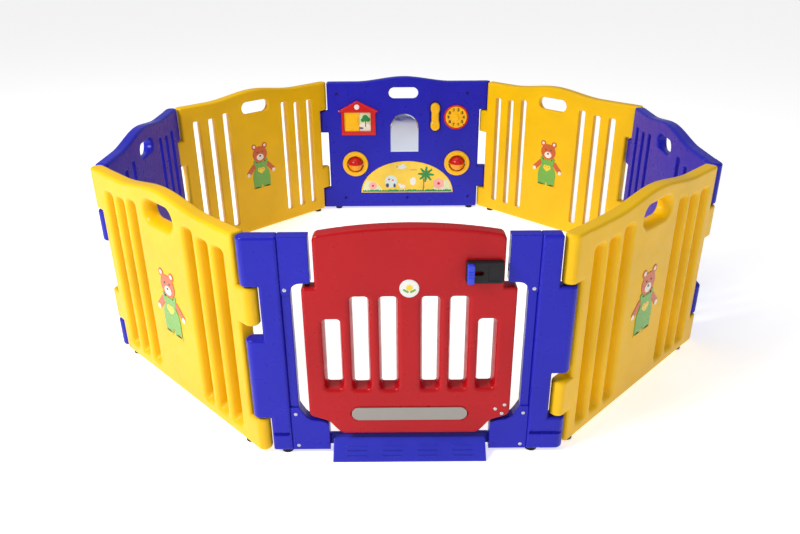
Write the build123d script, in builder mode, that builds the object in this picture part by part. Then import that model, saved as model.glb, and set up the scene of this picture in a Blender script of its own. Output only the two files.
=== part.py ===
from build123d import *
import os
from math import atan, cos, degrees, radians, sin, tan

os.makedirs("parts", exist_ok=True)

# Playpen: a closed ring of eight hinged panels with a gate at the front and a toy panel at the back.
# The six barred panels and the door are solid here; on the real pen they are hollow blow mouldings.
# Millimetres. +Z is up, the gate faces -Y, and the origin is under the middle of the whole footprint.

# Ring
PANELS = 8
PITCH = 750.0  # from one pivot axis to the next, along a panel
THICK = 40.0
HALF = THICK / 2
APOTHEM = PITCH / 2 / tan(radians(180 / PANELS))
RAMP_REACH = 35.0  # the ramp's toe stands this far out of the gate's face
CENTRE_Y = RAMP_REACH / 2

# Panel outline
BASE_H = 10.0  # the panels stand on feet this high
SHOULDER_H = 606.0
APEX_H = 628.0
ARCH_HALF = 218.0
BODY_HALF = PITCH / 2 - 25  # the body ends short of the pivot axes, and the knuckles reach them
CORNER_R = 8.0
EDGE_R = 8.0
WALL = 3.0  # of the hollow parts: the toy panel's shells and the gate posts
CAVITY_INSET = 7.0

# Knuckles, as (side, bottom, top): the left ones of a panel stand on the right ones of the panel before it
TOP_JOINT = 476.0
LOW_JOINT = 106.0
KNUCKLE_GAP = 4.0
LEFT_TOP = (-1, TOP_JOINT + KNUCKLE_GAP, SHOULDER_H)
LEFT_LOW = (-1, LOW_JOINT + KNUCKLE_GAP, 212.0)
RIGHT_TOP = (1, 376.0, TOP_JOINT)
RIGHT_LOW = (1, BASE_H, LOW_JOINT)
PANEL_KNUCKLES = (LEFT_TOP, LEFT_LOW, RIGHT_TOP, RIGHT_LOW)
KNUCKLE_EDGE_R = 4.0
KNUCKLE_ROOT = 12.0  # how far a knuckle runs into the body

# Pivot pins
PIN_R = 9.0
PIN_PLAY = 0.1
PIN_REACH = 76.0  # how far a pin goes down into the knuckle below
PIN_ROOT = 80.0  # how far it goes up into its own knuckle
COLLAR_R = 13.0
COLLAR_T = 3.0

# Feet
FOOT_R = 16.0
FOOT_U = 316.0
STEM_R = 6.0
STEM_H = 12.0
TREAD_R = 2.0  # rounding of a foot's lower edge

# Bar gaps: wide at the outer face and narrow at the inner one
GAP_DEPTH = 10.0  # each wall slopes in by this much over the thickness
GAP_SLOPE = degrees(atan(GAP_DEPTH / THICK))
GAP_R = 14.0
PANEL_GAP_W = 28.0
PANEL_GAPS = ((146.0, 64.0, 553.0), (215.0, 64.0, 543.0), (284.0, 64.0, 543.0))  # place, bottom, top
DOOR_GAP_W = 36.0
DOOR_GAPS = ((50.0, 207.0, 448.0), (118.0, 207.0, 448.0), (186.0, 209.0, 388.0))

# Hand slot
GRIP_Z = 557.0
GRIP_W = 134.0
GRIP_H = 50.0
GRIP_BEVEL = 12.0

# Gate frame
SEAM_U = 300.0  # the posts end and the jambs begin here
JAMB_HALF_T = 16.0
JAMB_U = 278.0
TOP_BRACKET_U = 230.0
TOP_BRACKET_H = 488.0
LOW_BRACKET_U = 204.0
LOW_BRACKET_H = 84.0
LOW_BRACKET_CURVE = ((212.0, 95.0), (226.0, 99.5), (248.0, 102.0), (262.0, 114.0))
JAMB_CURVE_END = 142.0
FILLET_R = 24.0
GATE_KNUCKLES_LEFT = (LEFT_TOP, (-1, LOW_JOINT + KNUCKLE_GAP, 338.0))
GATE_KNUCKLES_RIGHT = ((1, 238.0, TOP_JOINT), RIGHT_LOW)
FRAME_SCREWS = ((290.0, 472.0), (287.0, 121.0), (285.0, 24.0))
SCREW_R = 4.5
SCREW_HEAD_T = 1.5
SCREW_HEAD_EDGE_R = 0.8
SHANK_R = 2.0
SHANK_L = 12.0

# Ramp and sill, as seen from the side: distance out from the mid-plane, height
RAMP_W = 390.0
RAMP_TOP_H = 42.0
RAMP_TOP_OUT = 8.0
RAMP_BACK_OUT = -8.0
RAMP_WALL = 4.0
RAMP_EDGE_R = 3.0
RAMP_SKIN = 6.4  # height of the ramp's top over its hollow underside
RIB_L = 50.0
RIB_W = 3.0
RIB_T = 1.0
RIB_COLUMNS = (4, 90.0)  # count, pitch
RIB_ROWS = (3, 12.7)
RIB_DROP = 5.5  # the rows' middle is this far down the slope from the slope's middle
SILL_T = 10.0

# Door
DOOR_EAR_U = 252.0
DOOR_EAR_H = 478.0
DOOR_TOP_U = 220.0
DOOR_TOP_CORNER = (210.0, 610.0)
DOOR_BOTTOM_H = 62.0
DOOR_CHAMFER = 12.0
DOOR_EAR_CUT = 8.0
DOOR_SIDE_END = 126.0
DOOR_STEPS = ((240.0, 113.0), (222.0, 107.0), (200.0, 96.0), (186.0, 78.0))
DOOR_FOOT_U = 167.0
DOOR_EDGE_R = 5.0
HINGE_U = -238.0
HINGE_R = 5.0
HINGE_TOP = (448.0, 520.0)  # upper pin, bottom and top
HINGE_LOW = (70.0, 142.0)  # lower pin, bottom and top
WASHER_R = 7.0
WASHER_T = 4.0
UPPER_WASHER_Z = 484.0
LOWER_WASHER_Z = 103.0
DOOR_SCREWS = ((215.0, 137.0), (232.0, 123.0), (238.0, 149.0))
BADGE_Z = 477.0
BADGE_R = 23.0
STRIP_Z = 124.0
STRIP_W = 290.0
STRIP_H = 38.0
STRIP_T = 1.2
BADGE_T = 2.0

# Latch
LATCH_LEFT = 129.0
LATCH_RIGHT = 216.0
LATCH_Z = 520.5
LATCH_H = 55.0
LATCH_T = 14.0
BOLT_H = 19.0
BOLT_HALF_T = 6.0
BOLT_LEFT = 133.0
BOLT_RIGHT = 219.0
BOLT_TRAVEL = 24.0
BOLT_PLAY = 0.5
STEM_W = 10.0
KNOB_W = 17.0
KNOB_H = 50.0
KNOB_T = 11.0
KNOB_CORNER_R = 4.0
HOUSING_CORNER_R = 5.0
LATCH_EDGE_R = 2.5
SOCKET_DEPTH = 18.0

# Toy panel, as seen from inside the pen: place to the right, height
SHELL_SCREWS = ((-306.0, 555.0), (293.0, 556.0), (-279.0, 58.0), (17.0, 57.0), (309.0, 61.0))
BOSS_R = 10.0
SHELL_SCREW_R = 5.8
SHELL_SCREW_HEAD_T = 3.0
SHELL_SCREW_SINK = 4.0
SHELL_SCREW_HOLE_R = 6.0
SHELL_SHANK_R = 2.4
SHELL_SHANK_L = 26.0
SHELL_BORE_R = 2.5
SHELL_BORE_DEPTH = 32.0
HOUSE_X = -207.5
HOUSE_T = 8.0
HOUSE_W = 157.0
HOUSE_EAVE_W = 184.0
HOUSE_EAVE_LIP = 5.0
HOUSE_EDGE_R = 2.0
HOUSE_BASE_H = 365.0
HOUSE_EAVE_H = 477.0
HOUSE_APEX_H = 525.0
WINDOW_X = -212.5
WINDOW_W = 121.0
WINDOW_H = 87.0
WINDOW_Z = 427.5
TRACK_LIP = 4.0  # the sliding door runs in a pocket this much larger than the window
TRACK_DEPTH = 4.5
SLIDER_W = 74.0
SLIDER_T = 3.0
SLIDER_GAP = 0.4  # between the card and the sliding door
SLIDER_RIB = (6.0, 40.0, 3.5)  # width, height, thickness
SLIDER_RIB_EDGE = 9.0  # from the door's right edge to the middle of its rib
CARD_T = 0.5
BELL_X = -214.0
BELL_Z = 497.0
BELL_R = 12.0
BELL_PLAY = 0.4
BELL_FLANGE_R = 14.0
BELL_FLANGE_T = 1.8
BELL_BACK = 2.4  # from the panel's face to the flange
BELL_T = 7.0
BELL_EDGE_R = 2.0
MIRROR_X = 4.0
MIRROR_W = 132.0
MIRROR_BASE_H = 283.0
MIRROR_TOP_H = 463.0
PLATE_T = 2.0
PLATE_GAP = 0.5  # behind the parts that move on the face
HANDSET_X = 146.0
HANDSET_Z = 449.0
HANDSET_L = 128.0
HANDSET_W = 43.0
HANDSET_WAIST = 34.0
HANDSET_T = 24.0
HANDSET_POCKET = 6.0
HANDSET_EDGE_R = 5.0
DIAL_X = 242.0
DIAL_Z = 446.0
DIAL_RING_R = 56.5
DIAL_R = 49.0
DIAL_T = 5.0
DIAL_PLAY = 0.5
DIAL_EDGE_R = 2.0
HUB_R = 14.0
HUB_T = 4.0
DENTS = 10
DENT_RING_R = 33.0
DENT_R = 6.0
DENT_DEPTH = 2.0
BALL_PLACES = {"left": (-228.0, 227.0), "right": (251.0, 228.0)}
BALL_R = 34.0
BALL_WALL = 3.0
BALL_CENTRE = 23.5  # in front of the panel's mid-plane
BALL_RING_R = 60.0
BALL_RING_HOLE_R = 38.5
BALL_RING_T = 14.0
BALL_RING_EDGE_R = 5.0
BALL_POCKET_R = 37.0
BALL_POCKET_DEPTH = 6.0
AXLE_R = 3.0
AXLE_HALF = 46.0
MEADOW_X = 15.5
MEADOW_HALF = 219.5
MEADOW_BASE_H = 83.0
MEADOW_TOP_H = 238.0

# Bear inlay: circles as place, height and radius, and the shapes that join them
BEAR_T = 2.0
BEAR_ROUNDS = (
    (0.0, 353.0, 35.0),
    (-27.0, 387.0, 13.0),
    (27.0, 387.0, 13.0),
    (-64.0, 272.0, 11.0),
    (64.0, 272.0, 11.0),
    (-27.0, 203.0, 12.0),
    (27.0, 203.0, 12.0),
)
BEAR_BODY = (262.0, 44.0, 62.0)  # height, half-width, half-height
BEAR_ARMS = (284.0, 146.0, 24.0)  # height, length, width
BEAR_LEGS = (26.0, 222.0, 52.0, 30.0)  # place, height, length, width


def save(piece, name):
    """Labels a finished piece and writes its file."""
    piece.label = name
    export_step(piece, f"parts/{name}.step")


def ring_plane(index):
    """Mid-plane of a panel of the ring: x to the right along it seen from outside, y up, z outward."""
    turn = radians(index * 360 / PANELS - 90)
    out = Vector(cos(turn), sin(turn), 0)
    middle = out * APOTHEM + Vector(0, CENTRE_Y, 0)
    return Plane(origin=middle, x_dir=(-sin(turn), cos(turn), 0), z_dir=out)


def inside(plane):
    """The same panel seen from inside the pen: x to the right, y up, z inward."""
    return Plane(origin=plane.origin, x_dir=plane.x_dir * -1, z_dir=plane.z_dir * -1)


def level(plane, u, height):
    """A horizontal plane at a place along a panel, at a height: x along the panel."""
    return Plane(origin=plane.from_local_coords((u, height, 0)), x_dir=plane.x_dir, z_dir=(0, 0, 1))


def panel_outline(plane, inset=0.0):
    """Panel body with flat shoulders and a low arch between them."""
    half = BODY_HALF - inset
    base = BASE_H + inset
    shoulder = SHOULDER_H - inset
    apex = APEX_H - inset
    with BuildSketch(plane) as outline:
        with BuildLine():
            Polyline(
                (-ARCH_HALF, shoulder),
                (-half, shoulder),
                (-half, base),
                (half, base),
                (half, shoulder),
                (ARCH_HALF, shoulder),
            )
            for end in (ARCH_HALF, -ARCH_HALF):
                Bezier((end, shoulder), (end / 2, shoulder), (end / 2, apex), (0, apex))
        make_face()
    return outline.sketch


def gap_openings(plane, gaps, width):
    """Bar gaps at the outer face, mirrored about the middle."""
    with BuildSketch(plane.offset(HALF)) as openings:
        for place, bottom, top in gaps:
            height = top - bottom + 2 * GAP_DEPTH
            with Locations((place, (bottom + top) / 2), (-place, (bottom + top) / 2)):
                RectangleRounded(width + 2 * GAP_DEPTH, height, GAP_R)
    return openings.sketch


def grip_opening(plane, grow=0.0):
    """Hand slot under the arch."""
    with BuildSketch(plane) as grip:
        with Locations((0, GRIP_Z)):
            SlotOverall(GRIP_W + 2 * grow, GRIP_H + 2 * grow)
    return grip.sketch


def make_knuckles(plane, places):
    """Pivot knuckles of one panel, with the sockets that take the pins of the panel above them."""
    with BuildPart() as knuckles:
        for side, bottom, top in places:
            reach = PITCH / 2 - BODY_HALF + KNUCKLE_ROOT
            with BuildSketch(level(plane, side * PITCH / 2, bottom)):
                Circle(HALF)
                with Locations((-side * reach / 2, 0)):
                    Rectangle(reach, THICK)
            extrude(amount=top - bottom)
        fillet(knuckles.edges().filter_by(GeomType.CIRCLE), KNUCKLE_EDGE_R)
        for side, bottom, top in places:
            if side > 0:
                hole, start, depth = PIN_R + PIN_PLAY, top, -PIN_REACH - COLLAR_T
            else:
                hole, start, depth = PIN_R, bottom, PIN_ROOT
            with BuildSketch(level(plane, side * PITCH / 2, start)):
                Circle(hole)
            extrude(amount=depth, mode=Mode.SUBTRACT)
    return knuckles.part


def make_pins(plane):
    """Pivot pins in the left knuckles, each with a collar in the gap below its knuckle."""
    with BuildPart() as pins:
        for joint_h in (TOP_JOINT, LOW_JOINT):
            with BuildSketch(level(plane, -PITCH / 2, joint_h - PIN_REACH)):
                Circle(PIN_R)
            extrude(amount=PIN_REACH + KNUCKLE_GAP + PIN_ROOT)
            with BuildSketch(level(plane, -PITCH / 2, joint_h + (KNUCKLE_GAP - COLLAR_T) / 2)):
                Circle(COLLAR_R)
            extrude(amount=COLLAR_T)
    return pins.part


def make_feet(plane):
    """Two rubber feet under a panel, each on a stem that plugs into it."""
    with BuildPart() as feet:
        for side in (-1, 1):
            with BuildSketch(level(plane, side * FOOT_U, 0)):
                Circle(FOOT_R)
            extrude(amount=BASE_H)
            with BuildSketch(level(plane, side * FOOT_U, BASE_H)):
                Circle(STEM_R)
            extrude(amount=STEM_H)
        fillet(feet.edges().group_by(Axis.Z)[0], TREAD_R)
    return feet.part


def foot_sockets(plane):
    """Holes in a panel's underside for the stems of its feet."""
    with BuildPart() as sockets:
        for side in (-1, 1):
            with BuildSketch(level(plane, side * FOOT_U, BASE_H)):
                Circle(STEM_R)
            extrude(amount=STEM_H)
    return sockets.part


def foot_bosses(plane):
    """Solid material around the foot sockets, left standing in the cavity."""
    with BuildPart() as bosses:
        for side in (-1, 1):
            with BuildSketch(level(plane, side * FOOT_U, BASE_H)):
                Circle(STEM_R + WALL)
            extrude(amount=STEM_H + WALL)
    return bosses.part


def make_cavity(plane, features):
    """The hollow inside the toy panel, with a wall left round the hand slot, the feet and its features."""
    bosses = foot_bosses(plane)
    with BuildPart() as cavity:
        extrude(panel_outline(plane, CAVITY_INSET), amount=HALF - WALL, both=True)
        extrude(grip_opening(plane, GRIP_BEVEL + WALL), amount=HALF, both=True, mode=Mode.SUBTRACT)
        add(bosses, mode=Mode.SUBTRACT)
        for feature in features:
            add(feature, mode=Mode.SUBTRACT)
    return cavity.part


def make_panel(plane, gaps=(), cavity=None):
    """A panel with its knuckles, bar gaps and hand slot."""
    knuckles = make_knuckles(plane, PANEL_KNUCKLES)
    sockets = foot_sockets(plane)
    across = Axis(plane.origin, plane.z_dir)
    with BuildPart() as panel:
        extrude(panel_outline(plane), amount=HALF, both=True)
        for face in (panel.faces().sort_by(across)[0], panel.faces().sort_by(across)[-1]):
            fillet(face.edges(), EDGE_R)
        add(knuckles)
        if cavity:
            add(cavity, mode=Mode.SUBTRACT)
        if gaps:
            openings = gap_openings(plane, gaps, PANEL_GAP_W)
            extrude(openings, amount=-THICK, taper=GAP_SLOPE, mode=Mode.SUBTRACT)
        extrude(grip_opening(plane), amount=HALF, both=True, mode=Mode.SUBTRACT)
        bevel = grip_opening(plane.offset(HALF), GRIP_BEVEL)
        extrude(bevel, amount=-GRIP_BEVEL, taper=45, mode=Mode.SUBTRACT)
        add(sockets, mode=Mode.SUBTRACT)
    return panel.part


def make_bears(plane):
    """A bear inlay on the outer face and one on the inner face."""
    with BuildPart() as bears:
        for face in (plane.offset(HALF), inside(plane).offset(HALF)):
            with BuildSketch(face):
                for u, height, radius in BEAR_ROUNDS:
                    with Locations((u, height)):
                        Circle(radius)
                with Locations((0, BEAR_BODY[0])):
                    Ellipse(*BEAR_BODY[1:])
                with Locations((0, BEAR_ARMS[0])):
                    SlotOverall(*BEAR_ARMS[1:])
                with Locations((-BEAR_LEGS[0], BEAR_LEGS[1]), BEAR_LEGS[:2]):
                    SlotOverall(*BEAR_LEGS[2:], rotation=90)
            extrude(amount=BEAR_T)
    return bears.part


NAMES = ("gate", "front_right", "right", "back_right", "activity", "back_left", "left", "front_left")
PLAIN = ("left", "right")
for index, name in enumerate(NAMES):
    place = ring_plane(index)
    save(make_pins(place), f"{name}_pins")
    save(make_feet(place), f"{name}_feet")
    if name in ("gate", "activity"):
        continue
    save(make_panel(place, PANEL_GAPS), f"{name}_panel")
    if name not in PLAIN:
        save(make_bears(place), f"{name}_bears")

# Gate posts and jambs
gate = ring_plane(NAMES.index("gate"))
sockets = foot_sockets(gate)


def make_post(side, places):
    """A hollow gate post with its two knuckles."""
    middle = side * (SEAM_U + BODY_HALF) / 2
    width = BODY_HALF - SEAM_U
    height = SHOULDER_H - BASE_H
    knuckles = make_knuckles(gate, places)
    bosses = foot_bosses(gate)
    with BuildPart() as cavity:
        with BuildSketch(gate):
            with Locations((middle, BASE_H + height / 2)):
                Rectangle(width - 2 * CAVITY_INSET, height - 2 * CAVITY_INSET)
        extrude(amount=HALF - WALL, both=True)
        add(bosses, mode=Mode.SUBTRACT)
    with BuildPart() as post:
        with BuildSketch(gate):
            with Locations((middle, BASE_H + height / 2)):
                Rectangle(width, height)
        extrude(amount=HALF, both=True)
        fillet(post.edges().filter_by(Axis.Z), CORNER_R)
        add(knuckles)
        add(sockets, mode=Mode.SUBTRACT)
        add(cavity.part, mode=Mode.SUBTRACT)
    return post.part


def make_jamb(side):
    """A jamb with a bracket over the door's ear and one under its lower corner."""
    with BuildPart() as jamb:
        with BuildSketch(gate):
            with BuildLine():
                Line((side * JAMB_U, JAMB_CURVE_END), (side * JAMB_U, TOP_BRACKET_H - FILLET_R))
                RadiusArc(
                    (side * JAMB_U, TOP_BRACKET_H - FILLET_R),
                    (side * (JAMB_U - FILLET_R), TOP_BRACKET_H),
                    -side * FILLET_R,
                )
                Polyline(
                    (side * (JAMB_U - FILLET_R), TOP_BRACKET_H),
                    (side * TOP_BRACKET_U, TOP_BRACKET_H),
                    (side * TOP_BRACKET_U, SHOULDER_H),
                    (side * SEAM_U, SHOULDER_H),
                    (side * SEAM_U, BASE_H),
                    (side * LOW_BRACKET_U, BASE_H),
                    (side * LOW_BRACKET_U, LOW_BRACKET_H),
                )
                Spline(
                    (side * LOW_BRACKET_U, LOW_BRACKET_H),
                    *[(side * u, height) for u, height in LOW_BRACKET_CURVE],
                    (side * JAMB_U, JAMB_CURVE_END),
                )
            make_face()
        extrude(amount=JAMB_HALF_T, both=True)
        with BuildSketch(gate.offset(JAMB_HALF_T)):
            with Locations(*[(side * u, height) for u, height in FRAME_SCREWS]):
                Circle(SHANK_R)
        extrude(amount=-SHANK_L, mode=Mode.SUBTRACT)
    return jamb.part


for side, name, places in ((-1, "left", GATE_KNUCKLES_LEFT), (1, "right", GATE_KNUCKLES_RIGHT)):
    save(make_post(side, places), f"gate_post_{name}")


def hinge_rods(radius, lengths):
    """Upright rods on the door's hinge axis."""
    with BuildPart() as rods:
        for bottom, top in lengths:
            with BuildSketch(level(gate, HINGE_U, bottom)):
                Circle(radius)
            extrude(amount=top - bottom)
    return rods.part


def bar(plane, left, right, height, thickness, start=0.0):
    """A rectangular bar along a panel, centred at a height, from start outward."""
    with BuildPart() as block:
        with BuildSketch(plane.offset(start)):
            with Locations(((left + right) / 2, height)):
                Rectangle(right - left, thickness[0])
        extrude(amount=thickness[1])
    return block.part


hinge_pins = hinge_rods(HINGE_R, (HINGE_TOP, HINGE_LOW))
washers = hinge_rods(
    WASHER_R,
    ((UPPER_WASHER_Z, UPPER_WASHER_Z + WASHER_T), (LOWER_WASHER_Z, LOWER_WASHER_Z + WASHER_T)),
)
with BuildPart() as door_hinge_pins:
    add(hinge_pins)
    add(washers)
save(door_hinge_pins.part, "door_hinge_pins")

left_jamb_solid = make_jamb(-1)
with BuildPart() as gate_jamb_left:
    add(left_jamb_solid)
    add(hinge_pins, mode=Mode.SUBTRACT)
save(gate_jamb_left.part, "gate_jamb_left")

socket = bar(
    gate,
    TOP_BRACKET_U,
    TOP_BRACKET_U + SOCKET_DEPTH,
    LATCH_Z,
    (BOLT_H + 4 * BOLT_PLAY, 2 * BOLT_HALF_T + 4 * BOLT_PLAY),
    -BOLT_HALF_T - 2 * BOLT_PLAY,
)
right_jamb_solid = make_jamb(1)
with BuildPart() as gate_jamb_right:
    add(right_jamb_solid)
    add(socket, mode=Mode.SUBTRACT)
save(gate_jamb_right.part, "gate_jamb_right")

with BuildPart() as frame_screws:
    screw_places = [(side * u, height) for u, height in FRAME_SCREWS for side in (-1, 1)]
    with BuildSketch(gate.offset(JAMB_HALF_T)):
        with Locations(*screw_places):
            Circle(SCREW_R)
    extrude(amount=SCREW_HEAD_T)
    rims = frame_screws.edges().filter_by(GeomType.CIRCLE)
    fillet(rims.group_by(Axis.Y)[0], SCREW_HEAD_EDGE_R)
    with BuildSketch(gate.offset(JAMB_HALF_T)):
        with Locations(*screw_places):
            Circle(SHANK_R)
    extrude(amount=-SHANK_L)
save(frame_screws.part, "frame_screws")


# Sill and ramp between the lower brackets
across_gate = Plane(origin=gate.origin, x_dir=gate.z_dir, z_dir=gate.x_dir * -1)
RAMP_TOE_OUT = HALF + RAMP_REACH
with BuildPart() as gate_sill:
    with BuildSketch(across_gate):
        with Locations((RAMP_BACK_OUT - SILL_T / 2, (BASE_H + RAMP_TOP_H) / 2)):
            Rectangle(SILL_T, RAMP_TOP_H - BASE_H)
    extrude(amount=LOW_BRACKET_U, both=True)
save(gate_sill.part, "gate_sill")

slope = atan((RAMP_TOP_H - RAMP_WALL) / (RAMP_TOE_OUT - RAMP_TOP_OUT))
slope_middle = gate.from_local_coords((0, (RAMP_TOP_H + RAMP_WALL) / 2, (RAMP_TOE_OUT + RAMP_TOP_OUT) / 2))
down_slope = gate.z_dir * cos(slope) - Vector(0, 0, sin(slope))
tread = Plane(
    origin=slope_middle + down_slope * RIB_DROP,
    x_dir=gate.x_dir,
    z_dir=gate.z_dir * sin(slope) + Vector(0, 0, cos(slope)),
)
with BuildPart() as gate_ramp:
    with BuildSketch(across_gate) as side_view:
        with BuildLine():
            Polyline(
                (RAMP_TOE_OUT, 0),
                (RAMP_TOE_OUT, RAMP_WALL),
                (RAMP_TOP_OUT, RAMP_TOP_H),
                (RAMP_BACK_OUT, RAMP_TOP_H),
                (RAMP_BACK_OUT, 0),
                close=True,
            )
        make_face()
    extrude(amount=RAMP_W / 2, both=True)
    fillet(gate_ramp.edges().filter_by(Axis.X).group_by(Axis.Z)[-1], RAMP_EDGE_R)
    with BuildSketch(across_gate):
        with BuildLine():
            Polyline(
                (RAMP_TOE_OUT - 3 * RAMP_WALL, 0),
                (RAMP_TOP_OUT, RAMP_TOP_H - RAMP_SKIN),
                (RAMP_BACK_OUT + RAMP_WALL, RAMP_TOP_H - RAMP_SKIN),
                (RAMP_BACK_OUT + RAMP_WALL, 0),
                close=True,
            )
        make_face()
    extrude(amount=RAMP_W / 2 - RAMP_WALL, both=True, mode=Mode.SUBTRACT)
    with BuildSketch(tread):
        with GridLocations(RIB_COLUMNS[1], RIB_ROWS[1], RIB_COLUMNS[0], RIB_ROWS[0]):
            SlotOverall(RIB_L, RIB_W)
    extrude(amount=RIB_T)
save(gate_ramp.part, "gate_ramp")


# Door
def door_outline():
    """Door with ears under the top brackets, a bowed top and stepped lower corners."""
    corner_u, corner_h = DOOR_TOP_CORNER
    with BuildSketch(gate) as outline:
        with BuildLine():
            ThreePointArc((-corner_u, corner_h), (0, APEX_H), (corner_u, corner_h))
            for side in (-1, 1):
                Polyline(
                    (side * corner_u, corner_h),
                    (side * DOOR_TOP_U, corner_h - DOOR_CHAMFER),
                    (side * DOOR_TOP_U, DOOR_EAR_H),
                    (side * (DOOR_EAR_U - DOOR_EAR_CUT), DOOR_EAR_H),
                    (side * DOOR_EAR_U, DOOR_EAR_H - DOOR_EAR_CUT),
                    (side * DOOR_EAR_U, DOOR_SIDE_END),
                )
                Spline(
                    (side * DOOR_EAR_U, DOOR_SIDE_END),
                    *[(side * u, height) for u, height in DOOR_STEPS],
                    (side * DOOR_FOOT_U, DOOR_BOTTOM_H),
                )
            Line((-DOOR_FOOT_U, DOOR_BOTTOM_H), (DOOR_FOOT_U, DOOR_BOTTOM_H))
        make_face()
    return outline.sketch


latch_pocket = bar(
    gate,
    BOLT_LEFT - 2,
    DOOR_TOP_U,
    LATCH_Z,
    (BOLT_H + 2 * BOLT_PLAY, HALF + BOLT_HALF_T + BOLT_PLAY),
    -BOLT_HALF_T - BOLT_PLAY,
)
bearing_holes = hinge_rods(HINGE_R + PIN_PLAY, (HINGE_TOP, HINGE_LOW))

with BuildPart() as gate_door:
    extrude(door_outline(), amount=HALF, both=True)
    across = Axis(gate.origin, gate.z_dir)
    for face in (gate_door.faces().sort_by(across)[0], gate_door.faces().sort_by(across)[-1]):
        fillet(face.edges(), DOOR_EDGE_R)
    openings = gap_openings(gate, DOOR_GAPS, DOOR_GAP_W)
    extrude(openings, amount=-THICK, taper=GAP_SLOPE, mode=Mode.SUBTRACT)
    add(latch_pocket, mode=Mode.SUBTRACT)
    add(bearing_holes, mode=Mode.SUBTRACT)
save(gate_door.part, "gate_door")

with BuildPart() as door_badge:
    with BuildSketch(gate.offset(HALF)):
        with Locations((0, BADGE_Z)):
            Circle(BADGE_R)
    extrude(amount=BADGE_T)
save(door_badge.part, "door_badge")

with BuildPart() as door_strip:
    with BuildSketch(gate.offset(HALF)):
        with Locations((0, STRIP_Z)):
            SlotOverall(STRIP_W, STRIP_H)
    extrude(amount=STRIP_T)
save(door_strip.part, "door_strip")

with BuildPart() as door_screws:
    with BuildSketch(gate.offset(HALF)):
        with Locations(*DOOR_SCREWS):
            Circle(SCREW_R)
    extrude(amount=SCREW_HEAD_T)
save(door_screws.part, "door_screws")

# Latch: a bolt inside the door, moved by a knob in front of the housing
with BuildPart() as latch_bolt:
    with BuildSketch(gate.offset(-BOLT_HALF_T)):
        with Locations(((BOLT_LEFT + BOLT_RIGHT) / 2, LATCH_Z)):
            Rectangle(BOLT_RIGHT - BOLT_LEFT, BOLT_H)
    extrude(amount=2 * BOLT_HALF_T)
    with BuildSketch(gate.offset(BOLT_HALF_T)):
        with Locations((BOLT_LEFT + STEM_W / 2 + 1, LATCH_Z)):
            Rectangle(STEM_W, STEM_W)
    extrude(amount=HALF + LATCH_T + BOLT_PLAY - BOLT_HALF_T)
save(latch_bolt.part, "latch_bolt")

with BuildPart() as latch_knob:
    with BuildSketch(gate.offset(HALF + LATCH_T + BOLT_PLAY)):
        with Locations((LATCH_LEFT + 2 + KNOB_W / 2, LATCH_Z)):
            RectangleRounded(KNOB_W, KNOB_H, KNOB_CORNER_R)
    extrude(amount=KNOB_T)
    fillet(latch_knob.faces().sort_by(Axis.Y)[0].edges(), LATCH_EDGE_R)
save(latch_knob.part, "latch_knob")

with BuildPart() as latch_housing:
    with BuildSketch(gate.offset(HALF)):
        with Locations(((LATCH_LEFT + LATCH_RIGHT) / 2, LATCH_Z)):
            RectangleRounded(LATCH_RIGHT - LATCH_LEFT, LATCH_H, HOUSING_CORNER_R)
    extrude(amount=LATCH_T)
    fillet(latch_housing.faces().sort_by(Axis.Y)[0].edges(), LATCH_EDGE_R)
    with BuildSketch(gate.offset(HALF)):
        slot_left = BOLT_LEFT
        slot_right = BOLT_LEFT + STEM_W + 2 + BOLT_TRAVEL
        with Locations(((slot_left + slot_right) / 2, LATCH_Z)):
            Rectangle(slot_right - slot_left, STEM_W + 1)
    extrude(amount=LATCH_T, mode=Mode.SUBTRACT)
save(latch_housing.part, "latch_housing")


# Toy panel: two shells, split at the mid-plane and screwed together
toy = ring_plane(NAMES.index("activity"))
toy_inside = inside(toy)
front = toy_inside.offset(HALF)  # the face the child plays at

with BuildPart() as bosses:
    with BuildSketch(toy_inside.offset(-HALF + WALL)):
        with Locations(*SHELL_SCREWS):
            Circle(BOSS_R)
    extrude(amount=THICK - 2 * WALL)
with BuildPart() as handset_seat:
    with BuildSketch(toy_inside.offset(HALF - HANDSET_POCKET - WALL)):
        with Locations((HANDSET_X, HANDSET_Z)):
            SlotOverall(HANDSET_L + 6 * WALL, HANDSET_W + 6 * WALL, rotation=90)
    extrude(amount=HANDSET_POCKET)
toy_panel = make_panel(toy, cavity=make_cavity(toy, (bosses.part, handset_seat.part)))

with BuildPart() as toy_cuts:
    with BuildSketch(front):
        with Locations(*BALL_PLACES.values()):
            Circle(BALL_POCKET_R)
    extrude(amount=-BALL_POCKET_DEPTH)
    with BuildSketch(front):
        with Locations((HANDSET_X, HANDSET_Z)):
            SlotOverall(HANDSET_L + 2 * WALL, HANDSET_W + 2 * WALL, rotation=90)
    extrude(amount=-HANDSET_POCKET)
    with BuildSketch(front):
        with Locations(*SHELL_SCREWS):
            Circle(SHELL_SCREW_HOLE_R)
    extrude(amount=-SHELL_SCREW_SINK)
    with BuildSketch(front):
        with Locations(*SHELL_SCREWS):
            Circle(SHELL_BORE_R)
    extrude(amount=-SHELL_BORE_DEPTH)

for keep, name in ((Keep.TOP, "activity_front_shell"), (Keep.BOTTOM, "activity_back_shell")):
    with BuildPart() as shell:
        add(toy_panel)
        add(toy_cuts.part, mode=Mode.SUBTRACT)
        split(bisect_by=toy_inside, keep=keep)
    save(shell.part, name)

with BuildPart() as activity_screws:
    with BuildSketch(front.offset(-SHELL_SCREW_SINK)):
        with Locations(*SHELL_SCREWS):
            Circle(SHELL_SCREW_R)
    extrude(amount=SHELL_SCREW_HEAD_T)
    with BuildSketch(front.offset(-SHELL_SCREW_SINK)):
        with Locations(*SHELL_SCREWS):
            Circle(SHELL_SHANK_R)
    extrude(amount=-SHELL_SHANK_L)
save(activity_screws.part, "activity_screws")

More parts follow.
